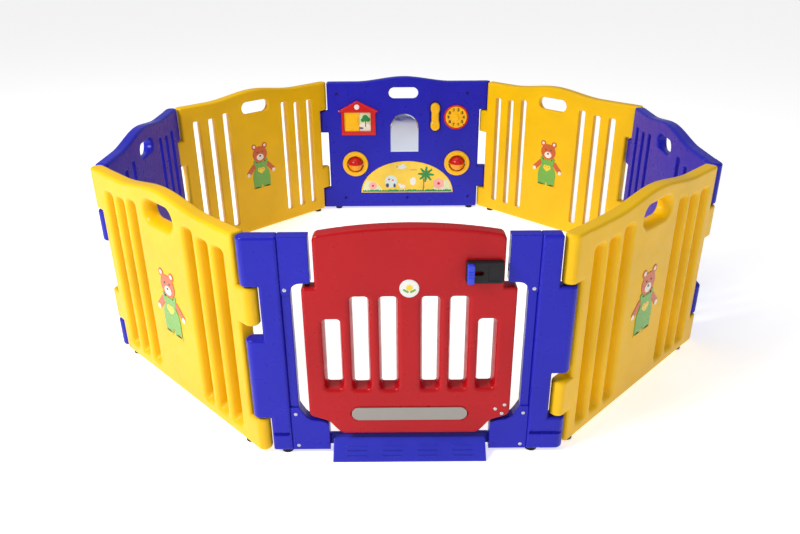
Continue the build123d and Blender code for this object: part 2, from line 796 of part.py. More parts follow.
# House with a sliding door over a picture, and a bell button in its roof
with BuildPart() as house_frame:
    with BuildSketch(front):
        with BuildLine():
            Polyline(
                (HOUSE_X - HOUSE_W / 2, HOUSE_BASE_H),
                (HOUSE_X + HOUSE_W / 2, HOUSE_BASE_H),
                (HOUSE_X + HOUSE_W / 2, HOUSE_EAVE_H - HOUSE_EAVE_LIP),
                (HOUSE_X + HOUSE_EAVE_W / 2, HOUSE_EAVE_H),
                (BELL_X, HOUSE_APEX_H),
                (HOUSE_X - HOUSE_EAVE_W / 2, HOUSE_EAVE_H),
                (HOUSE_X - HOUSE_W / 2, HOUSE_EAVE_H - HOUSE_EAVE_LIP),
                close=True,
            )
        make_face()
    extrude(amount=HOUSE_T)
    fillet(house_frame.faces().sort_by(Axis.Y)[0].edges(), HOUSE_EDGE_R)
    with BuildSketch(front):
        with Locations((WINDOW_X, WINDOW_Z)):
            Rectangle(WINDOW_W, WINDOW_H)
        with Locations((BELL_X, BELL_Z)):
            Circle(BELL_R + BELL_PLAY)
    extrude(amount=HOUSE_T, mode=Mode.SUBTRACT)
    with BuildSketch(front):
        with Locations((WINDOW_X, WINDOW_Z)):
            Rectangle(WINDOW_W + 4 * TRACK_LIP, WINDOW_H + 2 * TRACK_LIP)
        with Locations((BELL_X, BELL_Z)):
            Circle(BELL_FLANGE_R + BELL_PLAY)
    extrude(amount=TRACK_DEPTH, mode=Mode.SUBTRACT)
save(house_frame.part, "house_frame")

with BuildPart() as house_picture:
    with BuildSketch(front):
        with Locations((WINDOW_X, WINDOW_Z)):
            Rectangle(WINDOW_W + 3 * TRACK_LIP, WINDOW_H + TRACK_LIP)
    extrude(amount=CARD_T)
save(house_picture.part, "house_picture")

slider_left = WINDOW_X - WINDOW_W / 2 - 1.6 * TRACK_LIP
with BuildPart() as house_door:
    with BuildSketch(front.offset(CARD_T + SLIDER_GAP)):
        with Locations((slider_left + SLIDER_W / 2, WINDOW_Z)):
            Rectangle(SLIDER_W, WINDOW_H + 2 * TRACK_LIP - 1)
    extrude(amount=SLIDER_T)
    with BuildSketch(front.offset(CARD_T + SLIDER_GAP + SLIDER_T)):
        with Locations((slider_left + SLIDER_W - SLIDER_RIB_EDGE, WINDOW_Z)):
            RectangleRounded(*SLIDER_RIB[:2], SLIDER_RIB[0] / 3)
    extrude(amount=SLIDER_RIB[2])
save(house_door.part, "house_door")

with BuildPart() as doorbell_button:
    with BuildSketch(front.offset(BELL_BACK)):
        with Locations((BELL_X, BELL_Z)):
            Circle(BELL_FLANGE_R)
    extrude(amount=BELL_FLANGE_T)
    with BuildSketch(front.offset(BELL_BACK + BELL_FLANGE_T)):
        with Locations((BELL_X, BELL_Z)):
            Circle(BELL_R)
    extrude(amount=BELL_T)
    fillet(doorbell_button.faces().sort_by(Axis.Y)[0].edges(), BELL_EDGE_R)
save(doorbell_button.part, "doorbell_button")

with BuildPart() as mirror:
    with BuildSketch(front):
        arch_r = MIRROR_W / 2
        with BuildLine():
            Polyline(
                (MIRROR_X - arch_r, MIRROR_TOP_H - arch_r),
                (MIRROR_X - arch_r, MIRROR_BASE_H),
                (MIRROR_X + arch_r, MIRROR_BASE_H),
                (MIRROR_X + arch_r, MIRROR_TOP_H - arch_r),
            )
            ThreePointArc(
                (MIRROR_X + arch_r, MIRROR_TOP_H - arch_r),
                (MIRROR_X, MIRROR_TOP_H),
                (MIRROR_X - arch_r, MIRROR_TOP_H - arch_r),
            )
        make_face()
    extrude(amount=PLATE_T)
save(mirror.part, "mirror")

with BuildPart() as meadow_picture:
    with BuildSketch(front):
        with BuildLine():
            EllipticalCenterArc(
                (MEADOW_X, MEADOW_BASE_H), MEADOW_HALF, MEADOW_TOP_H - MEADOW_BASE_H, 0, arc_size=180
            )
            Line((MEADOW_X - MEADOW_HALF, MEADOW_BASE_H), (MEADOW_X + MEADOW_HALF, MEADOW_BASE_H))
        make_face()
    extrude(amount=PLATE_T)
save(meadow_picture.part, "meadow_picture")

# Telephone: a lift-off handset and a dial that turns in its ring
with BuildPart() as handset:
    with BuildSketch(front.offset(-HANDSET_POCKET + PLATE_GAP)):
        end_gap = (HANDSET_L - HANDSET_W) / 2
        with Locations((HANDSET_X, HANDSET_Z - end_gap), (HANDSET_X, HANDSET_Z + end_gap)):
            Circle(HANDSET_W / 2)
        with Locations((HANDSET_X, HANDSET_Z)):
            Rectangle(HANDSET_WAIST, HANDSET_L - HANDSET_W)
    extrude(amount=HANDSET_T)
    fillet(handset.faces().sort_by(Axis.Y)[0].edges(), HANDSET_EDGE_R)
save(handset.part, "handset")

with BuildPart() as dial_ring:
    with BuildSketch(front):
        with Locations((DIAL_X, DIAL_Z)):
            Circle(DIAL_RING_R)
            Circle(DIAL_R + DIAL_PLAY, mode=Mode.SUBTRACT)
    extrude(amount=DIAL_T + DIAL_EDGE_R)
    fillet(dial_ring.faces().sort_by(Axis.Y)[0].edges(), DIAL_EDGE_R)
save(dial_ring.part, "dial_ring")

with BuildPart() as dial_disc:
    with BuildSketch(front.offset(PLATE_GAP)):
        with Locations((DIAL_X, DIAL_Z)):
            Circle(DIAL_R)
    extrude(amount=DIAL_T)
    with BuildSketch(front.offset(PLATE_GAP + DIAL_T)):
        with Locations((DIAL_X, DIAL_Z)):
            Circle(HUB_R)
    extrude(amount=HUB_T)
    with BuildSketch(front.offset(PLATE_GAP + DIAL_T)):
        with Locations((DIAL_X, DIAL_Z)):
            with PolarLocations(DENT_RING_R, DENTS):
                Circle(DENT_R)
    extrude(amount=-DENT_DEPTH, mode=Mode.SUBTRACT)
save(dial_disc.part, "dial_disc")

# Spinning balls: two half shells on a level axle, in a ring
for name, (x, height) in BALL_PLACES.items():
    with BuildPart() as ball_ring:
        with BuildSketch(front):
            with Locations((x, height)):
                Circle(BALL_RING_R)
                Circle(BALL_RING_HOLE_R, mode=Mode.SUBTRACT)
        extrude(amount=BALL_RING_T)
        fillet(ball_ring.faces().sort_by(Axis.Y)[0].edges(), BALL_RING_EDGE_R)
        with Locations(Plane(toy_inside.from_local_coords((x, height, BALL_CENTRE)), z_dir=toy.x_dir)):
            Cylinder(AXLE_R, 2 * AXLE_HALF, mode=Mode.SUBTRACT)
    save(ball_ring.part, f"ball_ring_{name}")

    centre = toy_inside.from_local_coords((x, height, BALL_CENTRE))
    equator = Plane(origin=centre, z_dir=(0, 0, 1))
    for keep, half in ((Keep.TOP, "upper"), (Keep.BOTTOM, "lower")):
        with BuildPart() as half_ball:
            with Locations(centre):
                Sphere(BALL_R)
                Sphere(BALL_R - BALL_WALL, mode=Mode.SUBTRACT)
            with Locations(Plane(centre, z_dir=toy.x_dir)):
                Cylinder(AXLE_R + PIN_PLAY, 2 * BALL_R, mode=Mode.SUBTRACT)
            split(bisect_by=equator, keep=keep)
        save(half_ball.part, f"ball_{name}_{half}")

with BuildPart() as ball_axles:
    for x, height in BALL_PLACES.values():
        with Locations(Plane(toy_inside.from_local_coords((x, height, BALL_CENTRE)), z_dir=toy.x_dir)):
            Cylinder(AXLE_R, 2 * AXLE_HALF)
save(ball_axles.part, "ball_axles")
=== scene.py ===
from math import cos, pi, radians, sin, tan

import bmesh
import bpy
import numpy as np
from mathutils import Matrix, Vector


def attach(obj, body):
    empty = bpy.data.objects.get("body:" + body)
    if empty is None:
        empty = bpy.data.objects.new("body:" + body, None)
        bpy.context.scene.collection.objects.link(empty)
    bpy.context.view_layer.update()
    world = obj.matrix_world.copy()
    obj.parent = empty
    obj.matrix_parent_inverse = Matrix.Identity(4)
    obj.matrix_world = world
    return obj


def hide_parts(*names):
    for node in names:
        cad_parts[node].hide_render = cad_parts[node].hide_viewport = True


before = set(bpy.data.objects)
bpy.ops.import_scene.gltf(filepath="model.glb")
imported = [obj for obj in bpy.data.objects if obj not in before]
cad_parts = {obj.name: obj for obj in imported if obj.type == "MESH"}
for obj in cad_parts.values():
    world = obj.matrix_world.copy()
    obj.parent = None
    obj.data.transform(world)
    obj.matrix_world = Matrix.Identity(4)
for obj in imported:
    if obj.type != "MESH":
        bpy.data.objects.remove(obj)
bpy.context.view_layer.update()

# Playpen. Metres. Most pieces are moulded plastic, so each is written as a distance field (negative inside)
# in its panel's own coordinates, x along the panel, y up and z out of it, and surface() meshes the field.

# Ring and panel, as in the CAD model
PANELS = 8
PITCH = 0.750
THICK = 0.040
HALF = THICK / 2
APOTHEM = PITCH / 2 / tan(pi / PANELS)
CENTRE_Y = 0.0175
BASE = 0.010
SHOULDER = 0.606
APEX = 0.628
ARCH_HALF = 0.218
BODY_HALF = PITCH / 2 - 0.025
TOP_JOINT = 0.476
LOW_JOINT = 0.106
JOINT_GAP = 0.004
NAMES = ("gate", "front_right", "right", "back_right", "activity", "back_left", "left", "front_left")

# Knuckles: side, bottom, top
LEFT_TOP = (-1, TOP_JOINT + JOINT_GAP, SHOULDER)
LEFT_LOW = (-1, LOW_JOINT + JOINT_GAP, 0.212)
RIGHT_TOP = (1, 0.376, TOP_JOINT)
RIGHT_LOW = (1, BASE, LOW_JOINT)
PANEL_KNUCKLES = (LEFT_TOP, LEFT_LOW, RIGHT_TOP, RIGHT_LOW)
POST_KNUCKLES = {
    -1: (LEFT_TOP, (-1, LOW_JOINT + JOINT_GAP, 0.338)),
    1: ((1, 0.238, TOP_JOINT), RIGHT_LOW),
}

# Bar gaps: place, bottom, top
PANEL_GAPS = ((0.146, 0.064, 0.553), (0.215, 0.064, 0.543), (0.284, 0.064, 0.543))
PANEL_GAP_W = 0.028
DOOR_GAPS = ((0.050, 0.200, 0.448), (0.118, 0.200, 0.448), (0.186, 0.202, 0.388))
DOOR_GAP_W = 0.036

# Hand slot
GRIP_Y = 0.557
GRIP_W = 0.134
GRIP_H = 0.050

# Where a cut from the outer face starts, clear of every part
FAR = 0.1


# -------- distance fields

def meet(a, b, r=0.0):
    """Intersection of two fields with an edge of radius r, which may vary from place to place."""
    if np.ndim(r) == 0 and not r:
        return np.maximum(a, b)
    return np.minimum(np.maximum(a, b), -r) + np.hypot(np.maximum(a + r, 0), np.maximum(b + r, 0))


def join(a, b, r=0.0):
    """Union with a fillet of radius r."""
    return -meet(-a, -b, r)


def cut(a, b, r=0.0):
    """a without b, with an edge of radius r."""
    return meet(a, -b, r)


def span(c, low, high):
    """Distance to a slab between low and high."""
    return np.maximum(low - c, c - high)


def rectangle(x, y, cx, cy, w, h, r=0.0):
    """Distance to a rectangle with corners of radius r."""
    qx = np.abs(x - cx) - w / 2 + r
    qy = np.abs(y - cy) - h / 2 + r
    return np.hypot(np.maximum(qx, 0), np.maximum(qy, 0)) + np.minimum(np.maximum(qx, qy), 0) - r


def stadium(x, y, cx, cy, w, h):
    """Distance to a level slot of overall size w by h."""
    return rectangle(x, y, cx, cy, w, h, min(w, h) / 2)


def disc(x, y, cx, cy, r):
    return np.hypot(x - cx, y - cy) - r


def ease(t):
    """Smooth step from 0 to 1."""
    t = np.clip(t, 0, 1)
    return t * t * (3 - 2 * t)


def polygon(x, y, points):
    """Distance to a closed outline."""
    nearest, inside = np.inf, False
    for (ax, ay), (bx, by) in zip(points, [*points[1:], points[0]]):
        ex, ey = bx - ax, by - ay
        t = np.clip(((x - ax) * ex + (y - ay) * ey) / (ex**2 + ey**2), 0, 1)
        nearest = np.minimum(nearest, np.hypot(x - ax - t * ex, y - ay - t * ey))
        inside = inside ^ (((ay > y) != (by > y)) & (x < ax + (y - ay) * ex / (ey or 1)))
    return np.where(inside, -nearest, nearest)


def ellipse(x, y, cx, cy, a, b):
    """Near distance to an ellipse of half-sizes a and b."""
    qx, qy = (x - cx) / a, (y - cy) / b
    return (np.hypot(qx, qy) - 1) * min(a, b)


def lozenge(x, y, start, end, r):
    """Distance to a round-ended stroke of half-width r."""
    ex, ey = end[0] - start[0], end[1] - start[1]
    t = np.clip(((x - start[0]) * ex + (y - start[1]) * ey) / (ex**2 + ey**2), 0, 1)
    return np.hypot(x - start[0] - t * ex, y - start[1] - t * ey) - r


def plate(flat, z, back, front, r=0.0):
    """A flat outline given thickness, with rounded front and back edges."""
    return meet(flat, span(z, back, front), r)


def dome(flat, z, back, front, r):
    """A flat outline given thickness, with only its front edge rounded."""
    return np.maximum(meet(flat, z - front, r), back - z)


def outwardness(z):
    """0 at a panel's inner face and 1 at its outer face."""
    return np.clip((z + HALF) / THICK, 0, 1)


def bar_gap(x, y, z, place, bottom, top, width, flare, scoop):
    """A slot that flares towards the outer face and ends below in a sloping scoop."""
    t = outwardness(z)
    wide = width / 2 + flare * t**2
    low = bottom - scoop * t**1.3
    high = top + flare * t**2
    r = 0.007 + 0.006 * t
    return rectangle(x, y, place, (low + high) / 2, 2 * wide, high - low, r)


def cut_gaps(solid, x, y, z, gaps, width, scoop, flare=0.010):
    """Cuts the mirrored bar gaps, with soft lips at the outer face and tighter ones inside."""
    for place, bottom, top in gaps:
        gap = bar_gap(np.abs(x), y, z, place, bottom, top, width, flare, scoop)
        solid = cut(solid, gap, 0.0025 + 0.0055 * outwardness(z))
    return solid


def knuckle(x, y, z, side, bottom, top):
    """A pivot knuckle, round about the pivot axis, that runs into the panel body."""
    q = side * x
    plan = np.hypot(np.maximum(q - PITCH / 2, 0), z) - HALF
    plan = np.maximum(plan, BODY_HALF - 0.015 - q)
    return meet(plan, span(y, bottom, top), 0.007)


def panel_field(gaps, width):
    """A hinged panel: body, knuckles, bar gaps and hand slot."""

    def field(x, y, z):
        top = SHOULDER + (APEX - SHOULDER) * ease((ARCH_HALF - np.abs(x)) / ARCH_HALF)
        flat = meet(np.abs(x) - BODY_HALF, span(y, BASE, top), 0.008)
        solid = plate(flat, z, -HALF, HALF, 0.009)
        for place in PANEL_KNUCKLES:
            solid = np.minimum(solid, knuckle(x, y, z, *place))
        if gaps:
            solid = cut_gaps(solid, x, y, z, gaps, width, 0.022)
        bevel = 0.012 * outwardness(z) ** 3
        return cut(solid, stadium(x, y, 0, GRIP_Y, GRIP_W, GRIP_H) - bevel, 0.005)

    return field


# -------- meshing

def add(name, data):
    """A new object in the scene."""
    thing = bpy.data.objects.new(name, data)
    bpy.context.scene.collection.objects.link(thing)
    return thing


def slope(field, p, h=2e-4):
    """The field's gradient at each point."""
    g = np.empty_like(p)
    for axis in range(3):
        step = np.zeros(3)
        step[axis] = h
        a, b = p + step, p - step
        g[:, axis] = (field(*a.T) - field(*b.T)) / (2 * h)
    return g


def settle(field, p, reach, turns=4):
    """Moves points on to the field's zero surface, no further than reach."""
    start = p.copy()
    for _ in range(turns):
        g = slope(field, p)
        p = p - (field(*p.T) / np.maximum((g**2).sum(1), 1e-6))[:, None] * g
    away = p - start
    far = np.linalg.norm(away, axis=1, keepdims=True)
    return start + away * np.minimum(1, reach / np.maximum(far, 1e-9))


def surface(field, low, high, step):
    """Vertices and quads of the zero surface: one vertex in each cell that it crosses."""
    low, high = np.array(low) - 1.5 * step, np.array(high) + 1.5 * step
    axes = [np.arange(low[i], high[i] + step, step) for i in range(3)]
    x, y, z = np.meshgrid(*axes, indexing="ij", sparse=True)
    inside = np.broadcast_to(field(x, y, z) < 0, [len(axis) for axis in axes])
    cells = np.array(inside.shape) - 1
    count = np.zeros(cells, int)
    for i in (0, 1):
        for j in (0, 1):
            for k in (0, 1):
                count += inside[i : i + cells[0], j : j + cells[1], k : k + cells[2]]
    active = (count > 0) & (count < 8)
    number = np.full(cells, -1)
    number[active] = np.arange(active.sum())
    points = settle(field, low + step * (np.argwhere(active) + 0.5), 0.9 * step)
    points = np.clip(points, low + 1.5 * step, high - 1.5 * step)
    quads = []
    for a in range(3):
        b, c = (a + 1) % 3, (a + 2) % 3
        first = np.take(inside, range(cells[a]), a)
        second = np.take(inside, range(1, cells[a] + 1), a)
        edges = np.argwhere(first != second)
        edges = edges[(edges[:, b] > 0) & (edges[:, c] > 0)]
        edges = edges[(edges[:, b] < cells[b]) & (edges[:, c] < cells[c])]
        ring = []
        for db, dc in ((-1, -1), (0, -1), (0, 0), (-1, 0)):
            cell = edges.copy()
            cell[:, b] += db
            cell[:, c] += dc
            ring.append(number[tuple(cell.T)])
        ring = np.stack(ring, 1)
        out = first[tuple(edges.T)]
        quads.append(np.where(out[:, None], ring, ring[:, ::-1]))
    return points, np.concatenate(quads)


def shape(field, low, high, step, keep=1.0):
    """The field's surface as points, faces and the field's own normals, thinned to a share of its faces."""
    points, faces = surface(field, low, high, step)
    if keep < 1:
        mesh = bpy.data.meshes.new("thin")
        mesh.from_pydata(points, [], faces)
        piece = add("thin", mesh)
        piece.modifiers.new("thin", "DECIMATE").ratio = keep
        thin = piece.evaluated_get(bpy.context.evaluated_depsgraph_get()).data
        co = np.empty(len(thin.vertices) * 3, np.float32)
        thin.vertices.foreach_get("co", co)
        points = np.clip(settle(field, co.reshape(-1, 3).astype(float), 0.3 * step, 2), low, high)
        faces = [tuple(face.vertices) for face in thin.polygons]
        bpy.data.objects.remove(piece)
        bpy.data.meshes.remove(mesh)
    g = slope(field, points)
    return points, faces, g / np.maximum(np.linalg.norm(g, axis=1, keepdims=True), 1e-9)


def mesh_of(name, *shapes):
    """One mesh of several shapes, each with the material slot of its own place in the list."""
    points = np.concatenate([s[0] for s in shapes])
    starts = np.cumsum([0] + [len(s[0]) for s in shapes])
    faces = [tuple(int(v) + start for v in face) for s, start in zip(shapes, starts) for face in s[1]]
    mesh = bpy.data.meshes.new(name)
    mesh.from_pydata(points, [], faces)
    mesh.polygons.foreach_set(
        "material_index", np.repeat(np.arange(len(shapes)), [len(s[1]) for s in shapes])
    )
    mesh.shade_smooth()
    mesh.normals_split_custom_set_from_vertices(np.concatenate([s[2] for s in shapes]))
    mesh.update()
    return mesh


def copies(one, offsets):
    """A shape repeated at several places."""
    points, faces, normals = one
    all_points = np.concatenate([points + offset for offset in offsets])
    all_faces = [
        tuple(int(v) + turn * len(points) for v in face) for turn in range(len(offsets)) for face in faces
    ]
    return all_points, all_faces, np.tile(normals, (len(offsets), 1))


# -------- places

def ring_place(index):
    """Panel coordinates to the pen's frame: x along the panel seen from outside, y up, z outward."""
    turn = index * 2 * pi / PANELS - pi / 2
    out = Vector((cos(turn), sin(turn), 0))
    along = Vector((-sin(turn), cos(turn), 0))
    place = Matrix((along, Vector((0, 0, 1)), out)).transposed().to_4x4()
    place.translation = out * APOTHEM + Vector((0, CENTRE_Y, 0))
    return place


ABOUT = Matrix.Rotation(pi, 4, "Y")  # the same panel seen from inside the pen
PLACE = {name: ring_place(index) for index, name in enumerate(NAMES)}
GATE = PLACE["gate"]
TOY = PLACE["activity"] @ ABOUT


def put(name, mesh, place, body, materials, replaced=()):
    """Puts a mesh in the scene as a piece of a body. A mesh in other materials is copied first."""
    if mesh.materials and list(mesh.materials) != list(materials):
        mesh = mesh.copy()
        mesh.materials.clear()
    if not mesh.materials:
        for material in materials:
            mesh.materials.append(material)
    piece = add(name, mesh)
    piece.matrix_world = place
    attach(piece, body)
    if replaced:
        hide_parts(*replaced)
    return piece


# -------- materials

def preset(node, values):
    """Sets a node's inputs by name."""
    for name, value in values.items():
        node.inputs[name].default_value = value


def noise(nodes, links, coords, scale, detail):
    """A noise texture on the piece's own coordinates, in metres."""
    texture = nodes.new("ShaderNodeTexNoise")
    preset(texture, {"Scale": scale, "Detail": detail})
    links.new(coords.outputs["Object"], texture.inputs["Vector"])
    return texture.outputs["Fac"]


def spread(nodes, links, value, low, high, start=0.3, end=0.7):
    """Maps a texture's value to a range."""
    remap = nodes.new("ShaderNodeMapRange")
    preset(remap, {"From Min": start, "From Max": end, "To Min": low, "To Max": high})
    links.new(value, remap.inputs["Value"])
    return remap.outputs["Result"]


def blend_colours(nodes, links, factor, first, second):
    """Mixes two colours by a factor."""
    mix = nodes.new("ShaderNodeMix")
    mix.data_type = "RGBA"
    preset(mix, {"A": (*first, 1), "B": (*second, 1)})
    links.new(factor, mix.inputs["Factor"])
    return mix.outputs["Result"]


def bump(nodes, links, height, distance, strength, under=None):
    """Turns a height into a relief, over another relief if one is given."""
    node = nodes.new("ShaderNodeBump")
    preset(node, {"Distance": distance, "Strength": strength})
    links.new(height, node.inputs["Height"])
    if under:
        links.new(under, node.inputs["Normal"])
    return node.outputs["Normal"]


def plastic(name, colour, rough=0.3, coat=0.05, wave=0.0006, grain=0.00003, drift=0.10, metal=0.0):
    """Moulded plastic: slow colour drift, rubbed patches, and fine grain over a slight waviness."""
    material = bpy.data.materials.new(name)
    material.use_nodes = True
    nodes, links = material.node_tree.nodes, material.node_tree.links
    shader = nodes["Principled BSDF"]
    coords = nodes.new("ShaderNodeTexCoord")
    darker = tuple(c * (1 - drift) for c in colour)
    paler = tuple(min(1, c * (1 + 0.4 * drift) + 0.01 * drift) for c in colour)
    slow = spread(nodes, links, noise(nodes, links, coords, 5, 3), 0, 1)
    links.new(blend_colours(nodes, links, slow, darker, paler), shader.inputs["Base Color"])
    rubbed = spread(nodes, links, noise(nodes, links, coords, 38, 6), rough * 0.85, rough * 1.3)
    links.new(rubbed, shader.inputs["Roughness"])
    under = bump(nodes, links, noise(nodes, links, coords, 9, 2), wave * 4, 0.35)
    under = bump(nodes, links, noise(nodes, links, coords, 60, 2), wave * 0.25, 0.08, under)
    links.new(
        bump(nodes, links, noise(nodes, links, coords, 600, 2), grain, 0.05, under), shader.inputs["Normal"]
    )
    preset(shader, {"Coat Weight": coat, "Coat Roughness": 0.12, "Metallic": metal})
    preset(shader, {"IOR": 1.5, "Specular IOR Level": 0.22})
    return material


YELLOW = plastic("yellow_polyethylene", (0.90, 0.52, 0.001), 0.34, 0.03)
BLUE = plastic("blue_polyethylene", (0.012, 0.012, 0.44), 0.30, 0.04)
RED = plastic("red_polyethylene", (0.46, 0.002, 0.006), 0.30, 0.04)
# A paler copy of the blue polyethylene for the ramp: painted light, for the light that falls on its upward
# slope.
LIT_RAMP_BLUE = plastic("ramp_blue_painted_light", (0.030, 0.036, 0.54), 0.36, 0.04)
KNOB_BLUE = plastic("knob_blue", (0.02, 0.05, 0.68), 0.22, 0.4, 0.0002)
TOY_YELLOW = plastic("toy_yellow", (0.93, 0.50, 0.004), 0.24, 0.2, 0.0002)
TOY_RED = plastic("toy_red", (0.62, 0.008, 0.008), 0.20, 0.4, 0.0002)
# Toy orange: the balls' lower halves, and also painted shade on the linings behind the balls.
TOY_ORANGE = plastic("toy_orange", (0.93, 0.36, 0.005), 0.20, 0.4, 0.0002)
WHITE = plastic("white_plastic", (0.80, 0.79, 0.75), 0.25, 0.3, 0.0002, drift=0.05)
BLACK = plastic("black_plastic", (0.012, 0.012, 0.014), 0.42, 0.0, 0.0002, 0.00012)
RUBBER = plastic("black_rubber", (0.014, 0.014, 0.014), 0.62, 0.0, 0.0003, 0.0002, drift=0.3)
STEEL = plastic("zinc_steel", (0.62, 0.62, 0.61), 0.30, 0.0, 0.0001, 0.00004, metal=1.0)
DARK_STEEL = plastic("black_steel", (0.03, 0.03, 0.035), 0.40, 0.0, 0.0001, 0.00004, metal=0.6)
MIRROR = plastic("acrylic_mirror", (0.50, 0.55, 0.64), 0.06, 0.0, 0.0001, 0.0, drift=0.02, metal=1.0)


def printed(name, colour, drift=0.12):
    """Printed film under a clear varnish."""
    return plastic(name, colour, 0.24, 0.35, 0.0001, 0.00003, drift)


BEAR_BROWN = printed("bear_brown", (0.60, 0.11, 0.02))
BEAR_CREAM = printed("bear_cream", (0.88, 0.80, 0.66))
BEAR_GREEN = printed("bear_green", (0.16, 0.42, 0.05))
BEAR_DARK = printed("bear_dark", (0.03, 0.015, 0.01))
BEAR_YELLOW = printed("bear_yellow", (0.95, 0.62, 0.02))
SKY_YELLOW = printed("sky_yellow", (0.90, 0.62, 0.06), 0.25)
GRASS = printed("grass", (0.06, 0.40, 0.16), 0.4)
LEAF = printed("leaf", (0.02, 0.25, 0.05), 0.4)
TRUNK = printed("trunk", (0.55, 0.12, 0.03))
BLOSSOM = printed("blossom", (0.88, 0.42, 0.36), 0.25)
CLOUD = printed("cloud", (0.62, 0.74, 0.72), 0.15)
PALE_GREEN = printed("pale_green", (0.70, 0.74, 0.46), 0.2)
LAMB = printed("lamb", (0.80, 0.80, 0.74))
NIGHT = printed("night_blue", (0.06, 0.06, 0.16))
CARD_GREEN = printed("card_green", (0.66, 0.72, 0.42), 0.35)


def dotted_film():
    """Silver film with a fine grid of dark dots."""
    material = plastic("silver_film", (0.46, 0.45, 0.42), 0.35, 0.1, 0.0001, metal=0.4)
    nodes, links = material.node_tree.nodes, material.node_tree.links
    coords = nodes.new("ShaderNodeTexCoord")
    dots = nodes.new("ShaderNodeTexVoronoi")
    preset(dots, {"Scale": 260, "Randomness": 0.05})
    links.new(coords.outputs["Object"], dots.inputs["Vector"])
    mask = spread(nodes, links, dots.outputs["Distance"], 0, 1, 0.22, 0.32)
    links.new(
        blend_colours(nodes, links, mask, (0.12, 0.11, 0.10), (0.32, 0.30, 0.27)),
        nodes["Principled BSDF"].inputs["Base Color"],
    )
    return material


SILVER = dotted_film()


# -------- panels, pins and feet

PANEL_LOW = (-PITCH / 2 - HALF, BASE, -HALF)
PANEL_HIGH = (PITCH / 2 + HALF, APEX, HALF)


def hinged_panels():
    """Four yellow panels and two blue ones, which share one form."""
    mesh = mesh_of("panel", shape(panel_field(PANEL_GAPS, PANEL_GAP_W), PANEL_LOW, PANEL_HIGH, 0.004, 0.3))
    for name in NAMES:
        if name in ("gate", "activity"):
            continue
        plain = name in ("left", "right")
        colour = BLUE if plain else YELLOW
        put(f"{name}_moulded_panel", mesh, PLACE[name], name, [colour], [f"{name}_panel"])


def foot_field(x, y, z):
    """A rubber foot with a rounded tread and one groove round it."""
    radius = np.hypot(x, z)
    solid = meet(radius - 0.016, span(y, 0, BASE + 0.001), 0.003)
    groove = np.hypot(radius - 0.0165, y - 0.006) - 0.0012
    return cut(solid, groove, 0.0005)


def feet():
    """Two rubber feet under each panel, on one mesh for the whole ring."""
    foot = shape(foot_field, (-0.016, 0, -0.016), (0.016, BASE + 0.001, 0.016), 0.0012, 0.4)
    mesh = mesh_of("feet", copies(foot, [(-0.316, 0, 0), (0.316, 0, 0)]))
    for name in NAMES:
        body = "gate_frame" if name == "gate" else name
        put(f"{name}_rubber_feet", mesh, PLACE[name], body, [RUBBER], [f"{name}_feet"])


# -------- bears

FACE = HALF
BEAR_T = 0.002


def inlay(outline, low, high, back=FACE - 0.0005, front=FACE + BEAR_T, step=0.0012, keep=0.35):
    """A thin moulded inlay with rounded front edges, from a flat outline of x and y."""

    def field(x, y, z):
        return dome(outline(x, y), z, back, front, 0.0008)

    return shape(field, (*low, back), (*high, front), step, keep)


def two(x, y, dx, cy, r):
    """Two discs, mirrored about the middle."""
    return np.hypot(np.abs(x) - dx, y - cy) - r


def bear_body(x, y):
    """Head, ears, arms and paws."""
    head = ellipse(x, y, 0, 0.352, 0.037, 0.034)
    ears = two(x, y, 0.027, 0.387, 0.0125)
    arms = lozenge(np.abs(x), y, (0.036, 0.302), (0.063, 0.274), 0.0105)
    return join(join(head, ears, 0.004), arms)


def overalls(x, y):
    """Bib, straps and two short legs."""
    bib = rectangle(x, y, 0, 0.292, 0.052, 0.050, 0.012)
    straps = lozenge(np.abs(x), y, (0.022, 0.298), (0.030, 0.322), 0.0065)
    belly = ellipse(x, y, 0, 0.258, 0.043, 0.040)
    legs = rectangle(np.abs(x), y, 0.0235, 0.226, 0.039, 0.050, 0.006)
    return join(join(join(bib, straps, 0.004), belly, 0.010), legs, 0.008)


def bear_mesh():
    """The bear on a panel's face: one mesh, with a material for each colour."""
    top = FACE + BEAR_T
    return mesh_of(
        "bear",
        inlay(bear_body, (-0.076, 0.262), (0.076, 0.402), front=top - 0.0006),
        inlay(overalls, (-0.046, 0.200), (0.046, 0.330)),
        inlay(lambda x, y: join(two(x, y, 0.027, 0.388, 0.0065), ellipse(x, y, 0, 0.339, 0.018, 0.014)),
              (-0.036, 0.324), (0.036, 0.396), top - 0.0012, top, 0.0008, 0.5),
        inlay(lambda x, y: join(two(x, y, 0.0125, 0.361, 0.0028), ellipse(x, y, 0, 0.3445, 0.0055, 0.0038)),
              (-0.016, 0.338), (0.016, 0.365), top - 0.0008, top + 0.0006, 0.0006, 0.6),
        inlay(lambda x, y: join(two(x, y, 0.0085, 0.283, 0.0105), disc(x, y, 0, 0.276, 0.010)),
              (-0.020, 0.264), (0.020, 0.296), top - 0.0008, top + 0.0005, 0.0008, 0.5),
        inlay(lambda x, y: np.minimum(two(x, y, 0.0215, 0.319, 0.0028), two(x, y, 0.0085, 0.2855, 0.0022)),
              (-0.027, 0.281), (0.027, 0.324), top - 0.0008, top + 0.0008, 0.0006, 0.6),
        inlay(lambda x, y: ellipse(np.abs(x), y, 0.027, 0.2005, 0.019, 0.0085),
              (-0.047, 0.191), (0.047, 0.210), step=0.0010),
        inlay(lambda x, y: two(x, y, 0.0655, 0.2695, 0.0085), (-0.075, 0.260), (0.075, 0.279), step=0.0010),
    )


